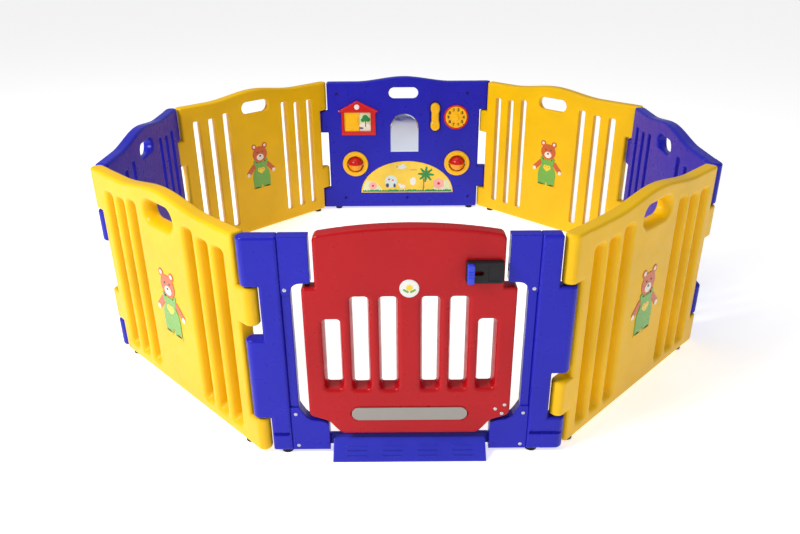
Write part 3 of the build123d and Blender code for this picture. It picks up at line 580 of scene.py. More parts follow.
def bears():
    """Inlays on both faces of each yellow panel."""
    mesh = bear_mesh()
    colours = [
        BEAR_BROWN, BEAR_GREEN, BEAR_CREAM, BEAR_DARK, BEAR_YELLOW, BEAR_DARK, YELLOW, BEAR_CREAM
    ]
    for name in NAMES:
        if name in ("gate", "activity", "left", "right"):
            continue
        for side, place in (("outer", PLACE[name]), ("inner", PLACE[name] @ ABOUT)):
            put(f"{name}_{side}_bear", mesh, place, name, colours, [f"{name}_bears"])


# -------- gate

SEAM = 0.300
JAMB_HALF = 0.016
JAMB_X = 0.278
FRAME_SCREWS = ((0.290, 0.472), (0.287, 0.121), (0.285, 0.024))
DOOR_SCREWS = ((0.215, 0.137, HALF), (0.232, 0.123, HALF), (0.238, 0.149, HALF))
SCREW_R = 0.0046
SCREW_SUNK = 0.0004
UPPER_LOBE = (0.2895, 0.472, 0.0135)
LOWER_LOBE = (0.2880, 0.122, 0.0150)
LATCH_Y = 0.5205
KNOB_X = 0.1395
STRIP_Y = 0.124
DOOR_PIN_X = -0.238
DOOR_PIN_R = 0.0051
RAMP_HALF = 0.195
RAMP_TOP = 0.042
RAMP_RUN = 0.047
RAMP_FALL = 0.038
RAMP_MIDDLE = (0.0315, 0.023)
RIB_PITCH = 0.0127


def post_field(side):
    """A gate post with its knuckles, and a rounded shoe below a groove."""

    def field(x, y, z):
        q = side * x
        flat = meet(span(q, SEAM, BODY_HALF), span(y, BASE, SHOULDER), 0.006)
        solid = plate(flat, z, -HALF, HALF, 0.008)
        for place in POST_KNUCKLES[side]:
            solid = np.minimum(solid, knuckle(x, y, z, *place))
        groove = plate(rectangle(q, y, 0.352, 0.062, 0.092, 0.009, 0.003), -z, -FAR, -HALF + 0.006)
        return cut(solid, groove, 0.0015)

    return field


def jamb_field(side):
    """A jamb, with a proud bracket plate over the door's ear and another under its lower corner."""
    fillet = [
        (JAMB_X - 0.024 + 0.024 * cos(a), 0.488 - 0.024 + 0.024 * sin(a))
        for a in [radians(15 * k) for k in range(7)]
    ]
    upper = [(0.230, 0.488), (0.230, SHOULDER), (SEAM, SHOULDER), (SEAM, 0.470), *fillet]
    lower = [
        (0.204, BASE), (0.204, 0.084), (0.206, 0.090), (0.212, 0.095), (0.226, 0.0995), (0.240, 0.1010),
        (0.248, 0.103), (0.256, 0.108), (0.262, 0.114), (0.270, 0.127), (JAMB_X, 0.142), (SEAM, 0.142),
        (SEAM, BASE),
    ]

    def field(x, y, z):
        q = side * x
        stile = rectangle(q, y, (JAMB_X + SEAM) / 2, (BASE + SHOULDER) / 2, SEAM - JAMB_X, SHOULDER - BASE)
        top, base = polygon(q, y, upper), polygon(q, y, lower)
        solid = plate(np.minimum(np.minimum(stile, top), base), z, -JAMB_HALF, JAMB_HALF - 0.004, 0.003)
        lobes = join(disc(q, y, *UPPER_LOBE), disc(q, y, *LOWER_LOBE))
        brackets = meet(join(np.minimum(top, base), lobes, 0.004), q - SEAM)
        solid = np.minimum(solid, plate(brackets, z, 0, JAMB_HALF, 0.0018))
        socket = np.maximum(rectangle(q, y, 0.228, LATCH_Y, 0.040, 0.021, 0.001), span(z, -0.007, 0.007))
        return cut(solid, socket, 0.0004) if side > 0 else solid

    return field


def screw_field(x, y, z):
    """A domed screw head with a cross recess. z is out of the surface, from 0."""
    radius = np.hypot(x, y)
    head = meet(np.sqrt(radius**2 + (z + 0.0085) ** 2) - 0.0102, radius - SCREW_R, 0.0004)
    head = np.maximum(head, -SCREW_SUNK - z)
    arms = np.minimum(rectangle(x, y, 0, 0, 0.0052, 0.0011), rectangle(x, y, 0, 0, 0.0011, 0.0052))
    return cut(head, np.maximum(arms, 0.0006 - z), 0.0002)


def cross_screws(name, places):
    """One mesh of screw heads at several places."""
    low, high = (-SCREW_R, -SCREW_R, -SCREW_SUNK), (SCREW_R, SCREW_R, 0.0018)
    return mesh_of(name, copies(shape(screw_field, low, high, 0.0003, 0.4), places))


def door_outline():
    """The door's outline for x above 0, carried past the middle so that it can be mirrored."""
    bow = [(x, 0.628 - 0.018 * (x / 0.210) ** 2) for x in np.linspace(-0.12, 0.210, 15)]
    steps = [
        (0.2505, 0.122), (0.247, 0.1175), (0.240, 0.1130), (0.231, 0.1100), (0.222, 0.1070),
        (0.210, 0.1030), (0.200, 0.0960), (0.193, 0.0870), (0.186, 0.0780), (0.178, 0.0690),
        (0.167, 0.0620),
    ]
    sides = [(0.216, 0.606), (0.220, 0.598), (0.220, 0.478), (0.246, 0.478), (0.252, 0.472), (0.252, 0.128)]
    return [*bow, *sides, *steps, (-0.12, 0.0620)]


def door_field(x, y, z):
    """The door: bowed top, ears, stepped lower corners and six bar gaps."""
    flat = polygon(np.abs(x), y, door_outline())
    solid = plate(flat, z, -HALF, HALF, 0.007)
    solid = cut_gaps(solid, x, y, z, DOOR_GAPS, DOOR_GAP_W, 0.007, 0.007)
    strip = plate(stadium(x, y, 0, STRIP_Y, 0.294, 0.042), -z, -FAR, -HALF + 0.0012)
    bolt = np.maximum(rectangle(x, y, 0.180, LATCH_Y, 0.098, 0.020, 0.001), span(z, -0.0065, 0.0065))
    solid = cut(cut(solid, strip, 0.0012), bolt, 0.0004)
    heights = np.minimum(span(y, 0.05, 0.16), span(y, 0.44, 0.53))
    return cut(solid, np.maximum(disc(x, z, DOOR_PIN_X, 0, DOOR_PIN_R), heights))


def ramp_field(x, y, z):
    """The ramp across the gateway, with rows of raised ribs on its slope."""
    wedge = [(0.055, 0), (0.055, 0.004), (0.008, RAMP_TOP), (-0.008, RAMP_TOP), (-0.008, 0)]
    solid = meet(polygon(z, y, wedge), np.abs(x) - RAMP_HALF, 0.0022)
    along = np.array((RAMP_RUN, -RAMP_FALL)) / np.hypot(RAMP_RUN, RAMP_FALL)
    dz, dy = z - RAMP_MIDDLE[0], y - RAMP_MIDDLE[1]
    s = dz * along[0] + dy * along[1]
    out = -dz * along[1] + dy * along[0]
    column = np.abs(np.abs(x) - 0.090) - 0.045
    row = np.abs(np.abs(s - 0.0055) - RIB_PITCH / 2) - RIB_PITCH / 2
    ribs = np.maximum(rectangle(column, row, 0, 0, 0.052, 0.0030, 0.0014), out - 0.0010)
    under = polygon(z, y, [(0.043, -1), (0.043, 0), (0.008, 0.0356), (-0.004, 0.0356), (-0.004, -1)])
    return cut(join(solid, ribs, 0.0008), np.maximum(under, np.abs(x) - 0.191), 0.001)


def housing_field(x, y, z):
    """The latch housing, with the knob's slot and a raised rim."""
    flat = rectangle(x, y, 0.1725, LATCH_Y, 0.087, 0.055, 0.006)
    solid = dome(flat, z, HALF, HALF + 0.014, 0.004)
    slot = stadium(x, y, 0.151, LATCH_Y, 0.036, 0.011)
    grip = plate(rectangle(x, y, 0.195, LATCH_Y, 0.030, 0.040, 0.004), -z, -FAR, -HALF - 0.0128)
    return cut(cut(solid, slot, 0.0008), grip, 0.0008)


def knob_field(x, y, z):
    """The latch's sliding knob: a tall rounded key with three finger ribs."""
    back, front = HALF + 0.0145, HALF + 0.0245
    solid = dome(rectangle(x, y, KNOB_X, LATCH_Y, 0.017, 0.050, 0.005), z, back, front, 0.004)
    row = np.minimum(np.abs(np.abs(y - LATCH_Y) - 0.007), np.abs(y - LATCH_Y))
    ribs = np.hypot(row, z - front) - 0.0014
    return join(solid, np.maximum(ribs, np.abs(x - KNOB_X) - 0.0060), 0.0008)


def badge():
    """A round white badge with a small sun over two leaves."""
    top = FACE + 0.002
    cy = 0.477
    disc_shape = inlay(lambda x, y: disc(x, y, 0, cy, 0.023), (-0.023, cy - 0.023), (0.023, cy + 0.023))

    def rays(x, y):
        angle = np.arctan2(y - cy - 0.002, x)
        return np.hypot(x, y - cy - 0.002) - 0.0078 - 0.0016 * np.cos(9 * angle)

    def leaves(x, y):
        return lozenge(np.abs(x), y, (0.004, cy - 0.0085), (0.0125, cy - 0.0035), 0.0028)

    def rim(x, y):
        return np.abs(disc(x, y, 0, cy, 0.0205)) - 0.0005

    def mark(flat, height, step):
        return inlay(flat, (-0.022, cy - 0.022), (0.022, cy + 0.022), top - 0.0006, top + height, step, 0.5)

    return mesh_of(
        "badge",
        disc_shape,
        mark(rays, 0.0004, 0.0005),
        mark(leaves, 0.0004, 0.0005),
        mark(rim, 0.0003, 0.0004),
    )


def gate_frame():
    """Posts, jambs, the ramp and the frame's screws."""
    for side, name in ((-1, "left"), (1, "right")):
        low, high = sorted((side * (SEAM - 0.001), side * (PITCH / 2 + HALF)))
        post = shape(post_field(side), (low, BASE, -HALF), (high, SHOULDER, HALF), 0.003, 0.3)
        put(f"gate_moulded_post_{name}", mesh_of("post", post), GATE, "gate_frame", [BLUE],
            [f"gate_post_{name}"])
        low, high = sorted((side * 0.204, side * SEAM))
        jamb = shape(jamb_field(side), (low, BASE, -JAMB_HALF), (high, SHOULDER, JAMB_HALF), 0.0022, 0.3)
        put(f"gate_moulded_jamb_{name}", mesh_of("jamb", jamb), GATE, "gate_frame", [BLUE],
            [f"gate_jamb_{name}"])
    low, high = (-RAMP_HALF, 0, -0.008), (RAMP_HALF, 0.043, 0.055)
    ramp = shape(ramp_field, low, high, 0.0016, 0.3)
    # The ramp wears the paler blue: painted light on its slope.
    put("gate_ribbed_ramp", mesh_of("ramp", ramp), GATE, "gate_frame", [LIT_RAMP_BLUE],
        ["gate_ramp"])
    heads = [(side * x, y, JAMB_HALF) for x, y in FRAME_SCREWS for side in (-1, 1)]
    put("frame_cross_screws", cross_screws("frame_screws", heads), GATE, "gate_frame", [STEEL],
        ["frame_screws"])


def gate_door():
    """The door with its screws, badge and dotted strip."""
    put("door_cross_screws", cross_screws("door_screws", DOOR_SCREWS), GATE, "door", [STEEL],
        ["door_screws"])
    door = shape(door_field, (-0.252, 0.062, -HALF), (0.252, 0.628, HALF), 0.003, 0.35)
    put("moulded_door", mesh_of("door", door), GATE, "door", [RED], ["gate_door"])
    put("door_sun_badge", badge(), GATE, "door",
        [WHITE, BEAR_YELLOW, BEAR_GREEN, CLOUD], ["door_badge"])
    strip = inlay(lambda x, y: stadium(x, y, 0, STRIP_Y, 0.290, 0.038), (-0.145, 0.105), (0.145, 0.143),
                  FACE - 0.001, FACE + 0.0012)
    put("door_dotted_strip", mesh_of("strip", strip), GATE, "door", [SILVER],
        ["door_strip"])


def latch():
    """The latch's housing and its knob."""
    housing = shape(housing_field, (0.129, 0.493, HALF), (0.216, 0.548, HALF + 0.014), 0.0012, 0.4)
    put("latch_moulded_housing", mesh_of("housing", housing), GATE, "door", [BLACK],
        ["latch_housing"])
    knob = shape(knob_field, (0.131, 0.4955, HALF + 0.0145), (0.148, 0.5455, HALF + 0.0259), 0.0008, 0.4)
    put("latch_ribbed_knob", mesh_of("knob", knob), GATE, "latch", [KNOB_BLUE],
        ["latch_knob"])


# -------- toys

BALLS = ((-0.228, 0.227), (0.251, 0.228))
BALL_R = 0.034
BALL_Z = 0.0235
SHELL_SCREWS = ((-0.306, 0.555), (0.293, 0.556), (-0.279, 0.058), (0.017, 0.057), (0.309, 0.061))
HANDSET = (0.146, 0.449)
DIAL = (0.242, 0.446)
BELL = (-0.214, 0.497)
WINDOW = (-0.2125, 0.4275)
MEADOW = (0.0155, 0.083)
MEADOW_SIZE = (0.2195, 0.155)
CARD_W = 0.133
CARD_H = 0.091
MIRROR_X = 0.004
MIRROR_FOOT = 0.283
MIRROR_SPRING = 0.397
MIRROR_R = 0.066
HANDSET_END = 0.0425
EAR_RING = 0.0065
DENT_RING = 0.035
# The orange lining behind each ball: painted shade in its recess.
SHADE_CUP_R = 0.0364
SHADE_CUP_BACK = 0.0152
SHADE_CUP_FRONT = 0.0260


def activity_field(x, y, z):
    """The toy panel seen from inside the pen, with pockets for the balls, the handset and its screws."""
    solid = panel_field((), 0)(-x, y, -z)
    for cx, cy in BALLS:
        solid = cut(solid, np.maximum(disc(x, y, cx, cy, 0.0365), -0.014 - z), 0.001)
    seat = plate(stadium(y, x, HANDSET[1], HANDSET[0], 0.134, 0.049), -z, -FAR, -0.0145)
    solid = cut(solid, seat, 0.002)
    for cx, cy in SHELL_SCREWS:
        solid = cut(solid, np.maximum(disc(x, y, cx, cy, 0.006), 0.0162 - z), 0.0012)
    return solid


def house_field(x, y, z):
    """A house front with a pitched roof, a framed window and a hole for the bell button."""
    cx = -0.2075
    wall = rectangle(x, y, cx, 0.420, 0.157, 0.110, 0.003)
    roof = polygon(x, y, [(-0.2995, 0.474), (-0.2985, 0.478), (-0.216, 0.5245), (-0.212, 0.5245),
                          (-0.1165, 0.478), (-0.1155, 0.474), (-0.130, 0.4705), (-0.285, 0.4705)])
    solid = dome(join(wall, roof, 0.002), z, FACE, FACE + 0.008, 0.0022)
    eave = join(lozenge(x, y, (-0.296, 0.4765), (-0.214, 0.5225), 0.0034),
                lozenge(x, y, (-0.214, 0.5225), (-0.119, 0.4765), 0.0034))
    solid = join(solid, dome(np.maximum(eave, roof), z, FACE, FACE + 0.0098, 0.0012), 0.001)
    frame_line = np.abs(rectangle(x, y, *WINDOW, 0.129, 0.095, 0.004)) - 0.0016
    solid = join(solid, dome(frame_line, z, FACE, FACE + 0.0092, 0.0008), 0.0006)
    window = rectangle(x, y, *WINDOW, 0.121, 0.087, 0.003)
    track = np.maximum(rectangle(x, y, *WINDOW, 0.137, 0.095), z - FACE - 0.0045)
    hole = disc(x, y, *BELL, 0.0124)
    flange = np.maximum(disc(x, y, *BELL, 0.0145), z - FACE - 0.0045)
    return cut(cut(solid, join(window, hole), 0.0012), join(track, flange))


def card_mesh():
    """The printed card behind the window: hills, a tree and a little pond."""
    top = FACE + 0.0005
    x0, y0 = WINDOW

    def card(x, y):
        return rectangle(x, y, x0, y0, CARD_W, CARD_H)

    def hills(x, y):
        wave = y - (y0 - 0.016) - 0.010 * np.sin((x - x0) * 55)
        return np.maximum(card(x, y) + 0.001, wave)

    def crown(x, y):
        lobes = disc(x, y, x0 + 0.036, y0 + 0.018, 0.014)
        lobes = np.minimum(lobes, disc(x, y, x0 + 0.048, y0 + 0.010, 0.011))
        return np.minimum(lobes, disc(x, y, x0 + 0.025, y0 + 0.008, 0.010))

    def trunk(x, y):
        return lozenge(x, y, (x0 + 0.037, y0 - 0.022), (x0 + 0.037, y0 + 0.008), 0.0028)

    def pond(x, y):
        return ellipse(x, y, x0 + 0.014, y0 - 0.030, 0.014, 0.005)

    low = (x0 - CARD_W / 2, y0 - CARD_H / 2)
    high = (x0 + CARD_W / 2, y0 + CARD_H / 2)

    def layer(flat, height, keep=0.3):
        return inlay(flat, low, high, top - 0.0003, top + height, 0.0008, keep)

    return mesh_of(
        "card",
        inlay(card, low, high, FACE - 0.0003, top, 0.0008, 0.15),
        layer(hills, 0.00015, 0.2),
        layer(trunk, 0.00025),
        layer(crown, 0.00035),
        layer(pond, 0.0003),
    )


def slider_field(x, y, z):
    """The house's sliding door: a thin panel with a rim, a sunk centre and a finger rib."""
    left = WINDOW[0] - 0.0605 - 0.0064
    cx = left + 0.037
    solid = plate(rectangle(x, y, cx, WINDOW[1], 0.074, 0.094, 0.002), z, 0.0209, 0.0239, 0.0006)
    centre = plate(rectangle(x, y, cx - 0.006, WINDOW[1], 0.040, 0.060, 0.004), -z, -FAR, -0.0229)
    rib = dome(rectangle(x, y, left + 0.065, WINDOW[1], 0.006, 0.040, 0.003), z, 0.0225, 0.0274, 0.0018)
    return join(cut(solid, centre, 0.0006), rib, 0.0008)


def bell_field(x, y, z):
    """The bell button, domed, with a ring groove round its face."""
    radius = np.hypot(x - BELL[0], y - BELL[1])
    flange = np.maximum(radius - 0.014, span(z, 0.0224, 0.0242))
    button = meet(np.maximum(radius - 0.012, 0.0235 - z), z - 0.0312 + 6 * radius**2, 0.0014)
    groove = np.hypot(radius - 0.0078, z - 0.0312) - 0.0008
    return np.minimum(flange, cut(button, groove, 0.0003))


def arch(x, y):
    """The mirror's outline: straight sides under a round top."""
    middle, height = (MIRROR_FOOT + MIRROR_SPRING) / 2, MIRROR_SPRING - MIRROR_FOOT
    sides = rectangle(x, y, MIRROR_X, middle, 2 * MIRROR_R, height)
    return np.minimum(sides, disc(x, y, MIRROR_X, MIRROR_SPRING, MIRROR_R))


def mirror_mesh():
    """Acrylic mirror with a bevelled rim."""

    def field(x, y, z):
        flat = arch(x, y)
        bevel = (flat + 0.006) * 0.28 + z - FACE - 0.002
        return np.maximum(dome(flat, z, FACE - 0.0005, FACE + 0.002, 0.0004), bevel)

    plate_shape = shape(field, (-0.062, MIRROR_FOOT, FACE), (0.070, 0.463, FACE + 0.002), 0.0011, 0.25)
    return mesh_of("mirror_plate", plate_shape)


def handset_field(x, y, z):
    """Telephone handset: two round ends, a slimmer grip that bows away from the panel, and ear holes."""
    s = y - HANDSET[1]
    end = ease((np.abs(s) - 0.016) / 0.020)
    half = 0.0170 + 0.0045 * end
    top = 0.0335 + 0.005 * end
    low, high = HANDSET[1] - HANDSET_END, HANDSET[1] + HANDSET_END
    flat = lozenge(x, y, (HANDSET[0], low), (HANDSET[0], high), 0) - half
    solid = np.maximum(meet(flat, z - top, 0.009), 0.0145 - z)
    for turn in range(6):
        hx = HANDSET[0] + EAR_RING * cos(turn * pi / 3)
        hy = HANDSET_END + EAR_RING * sin(turn * pi / 3)
        hole = np.hypot(x - hx, np.abs(s) - hy) - 0.0013
        solid = np.maximum(solid, -np.maximum(hole, 0.0375 - z))
    return solid


def dial_ring_field(x, y, z):
    """The dial's rim, with a finger stop."""
    radius = np.hypot(x - DIAL[0], y - DIAL[1])
    ring = dome(np.abs(radius - 0.053) - 0.0035, z, FACE, FACE + 0.007, 0.0028)
    stop = lozenge(x, y, (DIAL[0] + 0.0330, DIAL[1] - 0.0330), (DIAL[0] + 0.0375, DIAL[1] - 0.0375), 0.0022)
    return join(ring, dome(stop, z, FACE + 0.0060, FACE + 0.0080, 0.001), 0.001)


def disc_field(x, y, z):
    """The dial's disc: ten finger dents round a domed hub."""
    px, py = x - DIAL[0], y - DIAL[1]
    radius = np.hypot(px, py)
    solid = plate(radius - 0.049, z, 0.0205, 0.0255, 0.0012)
    hub = meet(radius - 0.014, z - 0.0295 + 4 * radius**2, 0.0014)
    solid = join(solid, np.maximum(hub, 0.0205 - z), 0.0012)
    for turn in range(10):
        a = turn * pi / 5
        dent = np.hypot(px - DENT_RING * cos(a), py - DENT_RING * sin(a)) - 0.0085
        solid = cut(solid, np.maximum(dent, 0.0237 - z), 0.0007)
    return solid


def digits():
    """The numerals in the dial's dents."""
    parts = bmesh.new()
    for turn in range(10):
        text = bpy.data.curves.new("digit", "FONT")
        text.body = str((turn + 1) % 10)
        text.size = 0.0175
        text.offset = 0.0006
        text.extrude = 0.0007
        text.align_x = text.align_y = "CENTER"
        piece = add("digit", text)
        flat = bpy.data.meshes.new_from_object(piece)
        a = radians(108 - 36 * turn)
        spot = (DIAL[0] + DENT_RING * cos(a), DIAL[1] + DENT_RING * sin(a), 0.0243)
        flat.transform(Matrix.Translation(spot))
        parts.from_mesh(flat)
        bpy.data.objects.remove(piece)
        bpy.data.curves.remove(text)
        bpy.data.meshes.remove(flat)
    mesh = bpy.data.meshes.new("digits")
    parts.to_mesh(mesh)
    parts.free()
    return mesh


def axle_room(x, y, z):
    """Room for a ball's axle: x and y from the ball's centre, z from the panel's middle plane."""
    return np.maximum(disc(y, z, 0, BALL_Z, 0.0032), np.abs(x) - 0.0465)


def ball_ring_field(x, y, z):
    """The collar round a ball, about the origin, with a raised lip and notches for the axle."""
    radius = np.hypot(x, y)
    solid = dome(np.abs(radius - 0.04925) - 0.01075, z, FACE, FACE + 0.0115, 0.0055)
    lip = np.hypot(radius - 0.0425, z - FACE - 0.0105) - 0.0034
    solid = join(solid, lip, 0.0012)
    return cut(np.maximum(solid, z - FACE - 0.0140), axle_room(x, y, z))


def shade_cup_field(x, y, z):
    """The dished lining behind a ball, coloured orange as painted shade in the ball's recess."""
    bowl = BALL_R + 0.0012 - np.sqrt(x**2 + y**2 + (z - BALL_Z) ** 2)
    shade_cup = np.maximum(plate(np.hypot(x, y) - SHADE_CUP_R, z, SHADE_CUP_BACK, SHADE_CUP_FRONT), bowl)
    return cut(shade_cup, axle_room(x, y, z))


def half_ball_field(side):
    """Half a hollow ball about its centre, with a groove where the halves meet."""

    def field(x, y, z):
        ball = np.sqrt(x**2 + y**2 + z**2) - BALL_R
        half = meet(ball, 0.00015 - side * y, 0.0009)
        for turn in range(3):
            star = np.hypot(x - 0.016 * (turn - 1), z - 0.026) - 0.0035
            half = np.maximum(half, -np.maximum(star, np.abs(side * y - 0.012) - 0.0035) - 0.002)
        return half

    return field


def meadow_mesh():
    """The printed meadow: sky, grass, palm, bush, flowers, a lamb and clouds, in thin layers."""
    top = FACE + 0.0016
    x0, y0 = MEADOW
    a, b = MEADOW_SIZE
    low, high = (x0 - a, y0), (x0 + a, y0 + b)

    def half_disc(x, y, inset=0.0):
        return np.maximum(ellipse(x, y, x0, y0, a - inset, b - inset), y0 + inset * 0.6 - y)

    def within(flat):
        return lambda x, y: np.maximum(flat(x, y), half_disc(x, y, 0.006))

    def layer(flat, height, step=0.0011, keep=0.25):
        return inlay(within(flat), low, high, top - 0.0005, top + height, step, keep)

    def ends(x, y):
        return ellipse(np.abs(x - x0), y, 0.200, y0 + 0.006, 0.080, 0.056)

    def grass(x, y):
        return y - y0 - 0.013 - 0.003 * np.sin((x - x0) * 70) - 0.002 * np.sin((x - x0) * 210)

    def tufts(x, y):
        return y - y0 - 0.007 - 0.007 * np.abs(np.sin((x - x0) * 260))

    def palm_trunk(x, y):
        bend = 0.006 * np.sin((y - y0) * 38)
        return lozenge(x - bend, y, (x0 + 0.074, y0 + 0.008), (x0 + 0.074, y0 + 0.086), 0.0036)

    def fronds(x, y):
        px, py = x - (x0 + 0.090), y - (y0 + 0.090)
        angle, radius = np.arctan2(py, px), np.hypot(px, py)
        reach = 0.029 + 0.011 * np.cos(8 * angle + 0.6) + 0.003 * np.cos(32 * angle)
        return (radius - reach) * 0.6

    def bush(x, y):
        return ellipse(x, y, x0 + 0.028, y0 + 0.056, 0.015, 0.020)

    def blossoms(x, y):
        near = disc(x, y, x0 + 0.151, y0 + 0.044, 0.026)
        petals = 0.002 * np.cos(6 * np.arctan2(y - y0 - 0.044, x - x0 - 0.151))
        return np.minimum(near + petals, disc(x, y, x0 - 0.164, y0 + 0.034, 0.020))

    def clouds(x, y):
        left = ellipse(x, y, x0 - 0.026, y0 + 0.126, 0.026, 0.0085)
        puff = disc(x, y, x0 - 0.020, y0 + 0.132, 0.010)
        tree = disc(x, y, x0 - 0.077, y0 + 0.056, 0.030)
        return np.minimum(np.minimum(left, puff), tree)

    def lamb(x, y):
        body = ellipse(x, y, x0 - 0.022, y0 + 0.030, 0.015, 0.010)
        fleece = np.minimum(body, disc(x, y, x0 - 0.036, y0 + 0.040, 0.007))
        legs = rectangle(np.abs(x - x0 + 0.022), y, 0.008, y0 + 0.016, 0.0036, 0.018, 0.001)
        return np.minimum(fleece, legs)

    def small_dark(x, y):
        hens = ellipse(x, y, x0 - 0.094, y0 + 0.036, 0.008, 0.011)
        hens = np.minimum(hens, ellipse(x, y, x0 - 0.060, y0 + 0.035, 0.006, 0.011))
        eyes = disc(x, y, x0 - 0.038, y0 + 0.041, 0.0016)
        birds = np.abs(np.hypot(np.abs(x - x0 - 0.030) - 0.007, y - y0 - 0.108) - 0.007) - 0.0010
        birds = np.maximum(birds, y0 + 0.108 - y)
        return np.minimum(np.minimum(hens, eyes), birds)

    def fruit(x, y):
        apples = disc(x, y, x0 - 0.086, y0 + 0.066, 0.0050)
        apples = np.minimum(apples, disc(x, y, x0 - 0.068, y0 + 0.062, 0.0045))
        coconuts = disc(x, y, x0 + 0.080, y0 + 0.086, 0.0060)
        hearts = disc(x, y, x0 + 0.151, y0 + 0.044, 0.0075)
        hearts = np.minimum(hearts, disc(x, y, x0 - 0.164, y0 + 0.034, 0.0060))
        beak = lozenge(x, y, (x0 - 0.050, y0 + 0.127), (x0 - 0.044, y0 + 0.127), 0.0028)
        return np.minimum(np.minimum(apples, coconuts), np.minimum(hearts, beak))

    def rim(x, y):
        return np.maximum(half_disc(x, y), -half_disc(x, y, 0.0045))

    plate_shape = inlay(half_disc, low, high, FACE - 0.0005, top, 0.0014, 0.2)
    return mesh_of(
        "meadow",
        plate_shape,
        inlay(rim, low, high, top - 0.0006, top + 0.0006, 0.0012, 0.3),
        layer(ends, 0.00010),
        layer(clouds, 0.00015),
        layer(grass, 0.00020),
        layer(palm_trunk, 0.00025),
        layer(bush, 0.00025),
        layer(fronds, 0.00035),
        layer(blossoms, 0.00030),
        layer(lamb, 0.00030),
        layer(fruit, 0.00035),
        layer(small_dark, 0.00040, 0.0009),
        layer(tufts, 0.00035, 0.0009),
    )


def toy_shells():
    """The toy panel's two shells and their screws."""
    shells = shape(activity_field, PANEL_LOW, PANEL_HIGH, 0.003, 0.25)
    put("activity_moulded_shells", mesh_of("shells", shells), TOY, "activity", [BLUE],
        ["activity_front_shell", "activity_back_shell"])
    heads = [(x, y, 0.0166) for x, y in SHELL_SCREWS]
    put("activity_cross_screws", cross_screws("shell_screws", heads), TOY, "activity",
        [DARK_STEEL], ["activity_screws"])


def house():
    """The house front with its card, sliding door and bell button."""
    front = shape(house_field, (-0.2995, 0.365, FACE), (-0.1155, 0.525, FACE + 0.0098), 0.0013, 0.35)
    put("house_front", mesh_of("house", front), TOY, "activity", [TOY_RED], ["house_frame"])
    put("house_printed_card", card_mesh(), TOY, "activity",
        [CARD_GREEN, BEAR_CREAM, NIGHT, LEAF, NIGHT], ["house_picture"])
    slider = shape(slider_field, (-0.2794, 0.3805, 0.0209), (-0.2054, 0.4745, 0.0274), 0.001, 0.3)
    put("house_sliding_door", mesh_of("slider", slider), TOY, "house_door",
        [TOY_YELLOW], ["house_door"])
    bell = shape(bell_field, (-0.228, 0.483, 0.0224), (-0.200, 0.511, 0.0312), 0.0008, 0.4)
    put("bell_button", mesh_of("bell", bell), TOY, "doorbell", [WHITE],
        ["doorbell_button"])


def mirror_and_meadow():
    """The mirror and the printed meadow below it."""
    put("bevelled_mirror", mirror_mesh(), TOY, "activity", [MIRROR], ["mirror"])
    put("meadow_printed_plate", meadow_mesh(), TOY, "activity",
        [SKY_YELLOW, BEAR_YELLOW, PALE_GREEN, CLOUD, GRASS, TRUNK, LAMB, LEAF, BLOSSOM, LAMB, TOY_RED,
         NIGHT, LEAF],
        ["meadow_picture"])


def telephone():
    """The handset, and the dial with its rim and numerals."""
    handset = shape(handset_field, (0.1245, 0.385, 0.0145), (0.1675, 0.513, 0.0385), 0.0013, 0.4)
    put("toy_handset", mesh_of("handset_form", handset), TOY, "handset",
        [TOY_YELLOW], ["handset"])
    ring = shape(dial_ring_field, (0.1855, 0.3895, FACE), (0.2985, 0.5025, FACE + 0.008), 0.0012, 0.35)
    put("dial_rim", mesh_of("rim", ring), TOY, "activity", [TOY_RED], ["dial_ring"])
    dial = shape(disc_field, (0.193, 0.397, 0.0205), (0.291, 0.495, 0.0295), 0.001, 0.3)
    put("dial_finger_disc", mesh_of("dial_form", dial), TOY, "dial", [TOY_YELLOW],
        ["dial_disc"])
    put("dial_numerals", digits(), TOY, "dial", [BEAR_DARK])


def balls():
    """The two balls, each of two halves in a collar with a dished orange lining, which is painted shade in
    the recess behind the ball.
    """
    collar = shape(ball_ring_field, (-0.060, -0.060, FACE), (0.060, 0.060, FACE + 0.014), 0.0013, 0.35)
    halves = {}
    for side in (1, -1):
        low, high = sorted((0, side * BALL_R))
        corner, far_corner = (-BALL_R, low, -BALL_R), (BALL_R, high, BALL_R)
        halves[side] = shape(half_ball_field(side), corner, far_corner, 0.0016, 0.35)
    shade_cup = shape(shade_cup_field, (-SHADE_CUP_R, -SHADE_CUP_R, SHADE_CUP_BACK), (SHADE_CUP_R, SHADE_CUP_R, SHADE_CUP_FRONT), 0.0014, 0.35)
    collar_mesh = mesh_of("collar", collar, shade_cup)
    ball_meshes = {side: mesh_of("half_ball", half) for side, half in halves.items()}
    for name, (x, y) in zip(("left", "right"), BALLS):
        at = TOY @ Matrix.Translation((x, y, 0))
        # Yellow collar; the orange on the lining behind the ball is painted shade.
        put(f"ball_{name}_collar", collar_mesh, at, "activity",
            [TOY_YELLOW, TOY_ORANGE], [f"ball_ring_{name}"])
        centre = TOY @ Matrix.Translation((x, y, BALL_Z))
        for side, half, colour, slot in (
            (1, "upper", TOY_RED, "red_plastic"),
            (-1, "lower", TOY_ORANGE, "orange_plastic"),
        ):
            put(f"ball_{name}_{half}_half", ball_meshes[side], centre, f"ball_{name}", [colour],
                [f"ball_{name}_{half}"])


# -------- CAD pieces that stay

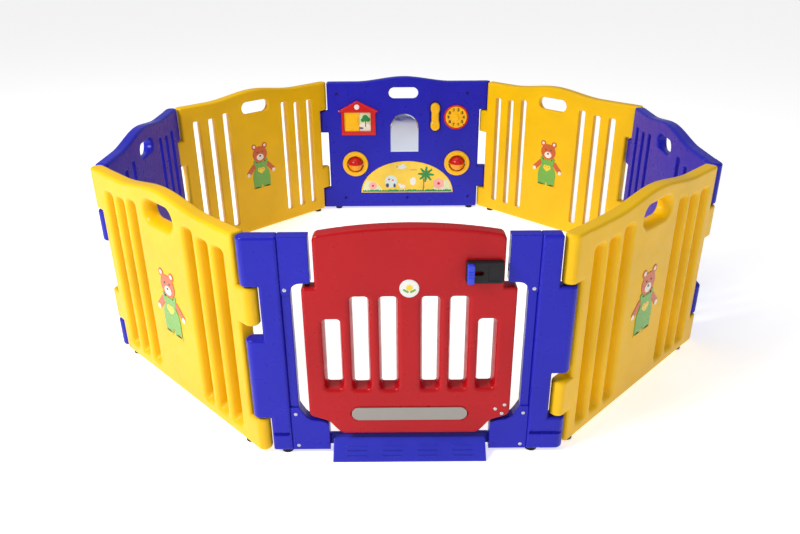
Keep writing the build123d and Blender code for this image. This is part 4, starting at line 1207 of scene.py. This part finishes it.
def carried_over():
    """Materials for the CAD pieces whose own shape is right."""
    kept = {f"{name}_pins": BLACK for name in NAMES}
    kept.update({
        "gate_sill": BLUE, "door_hinge_pins": BLACK, "latch_bolt": BLACK, "ball_axles": STEEL,
    })
    for node, material in kept.items():
        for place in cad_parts[node].material_slots:
            place.material = material


# -------- studio

def studio():
    """A wide white floor, and soft light from the upper left and front."""
    bpy.ops.mesh.primitive_plane_add(size=60, location=(0, 0, 0))
    floor = bpy.context.active_object
    floor.name = "studio_floor"
    white = bpy.data.materials.new("studio_white")
    white.use_nodes = True
    shader = white.node_tree.nodes["Principled BSDF"]
    preset(shader, {"Base Color": (0.90, 0.90, 0.90, 1), "Roughness": 0.7, "Specular IOR Level": 0.1})
    preset(shader, {"Emission Color": (1, 1, 1, 1), "Emission Strength": 0.60})
    floor.data.materials.append(white)

    world = bpy.data.worlds.new("studio")
    world.use_nodes = True
    preset(world.node_tree.nodes["Background"], {"Color": (1, 1, 1, 1), "Strength": 0.32})
    bpy.context.scene.world = world

    for name, place, power, size in (
        ("key", (-3.0, -2.2, 3.0), 135, 1.3),
        ("fill", (1.2, -3.2, 1.8), 9, 2.0),
        ("top", (-0.6, 0.4, 3.4), 26, 2.6),
    ):
        light = bpy.data.lights.new(name, "AREA")
        light.energy = power
        light.size = size
        lamp = add(name, light)
        lamp.location = place
        lamp.rotation_euler = (Vector((0, 0, 0.2)) - Vector(place)).to_track_quat("-Z", "Y").to_euler()


CAMERA_AT = (-0.0212, -2.3908, 1.2250)
CAMERA_TILT = 64.942
CAMERA_ROLL = -0.408


def camera():
    """The camera stands in front of the gate, a little above the pen."""
    data = bpy.data.cameras.new("view")
    data.lens = 32.35
    data.sensor_width = 36
    view = add("view", data)
    tilt = Matrix.Rotation(radians(CAMERA_TILT), 4, "X")
    roll = Matrix.Rotation(radians(CAMERA_ROLL), 4, "Z")
    view.matrix_world = Matrix.Translation(CAMERA_AT) @ tilt @ roll
    bpy.context.scene.camera = view


hinged_panels()
feet()
bears()
gate_frame()
gate_door()
latch()
toy_shells()
house()
mirror_and_meadow()
telephone()
balls()
carried_over()
studio()
camera()
bpy.context.scene.view_settings.view_transform = "Standard"
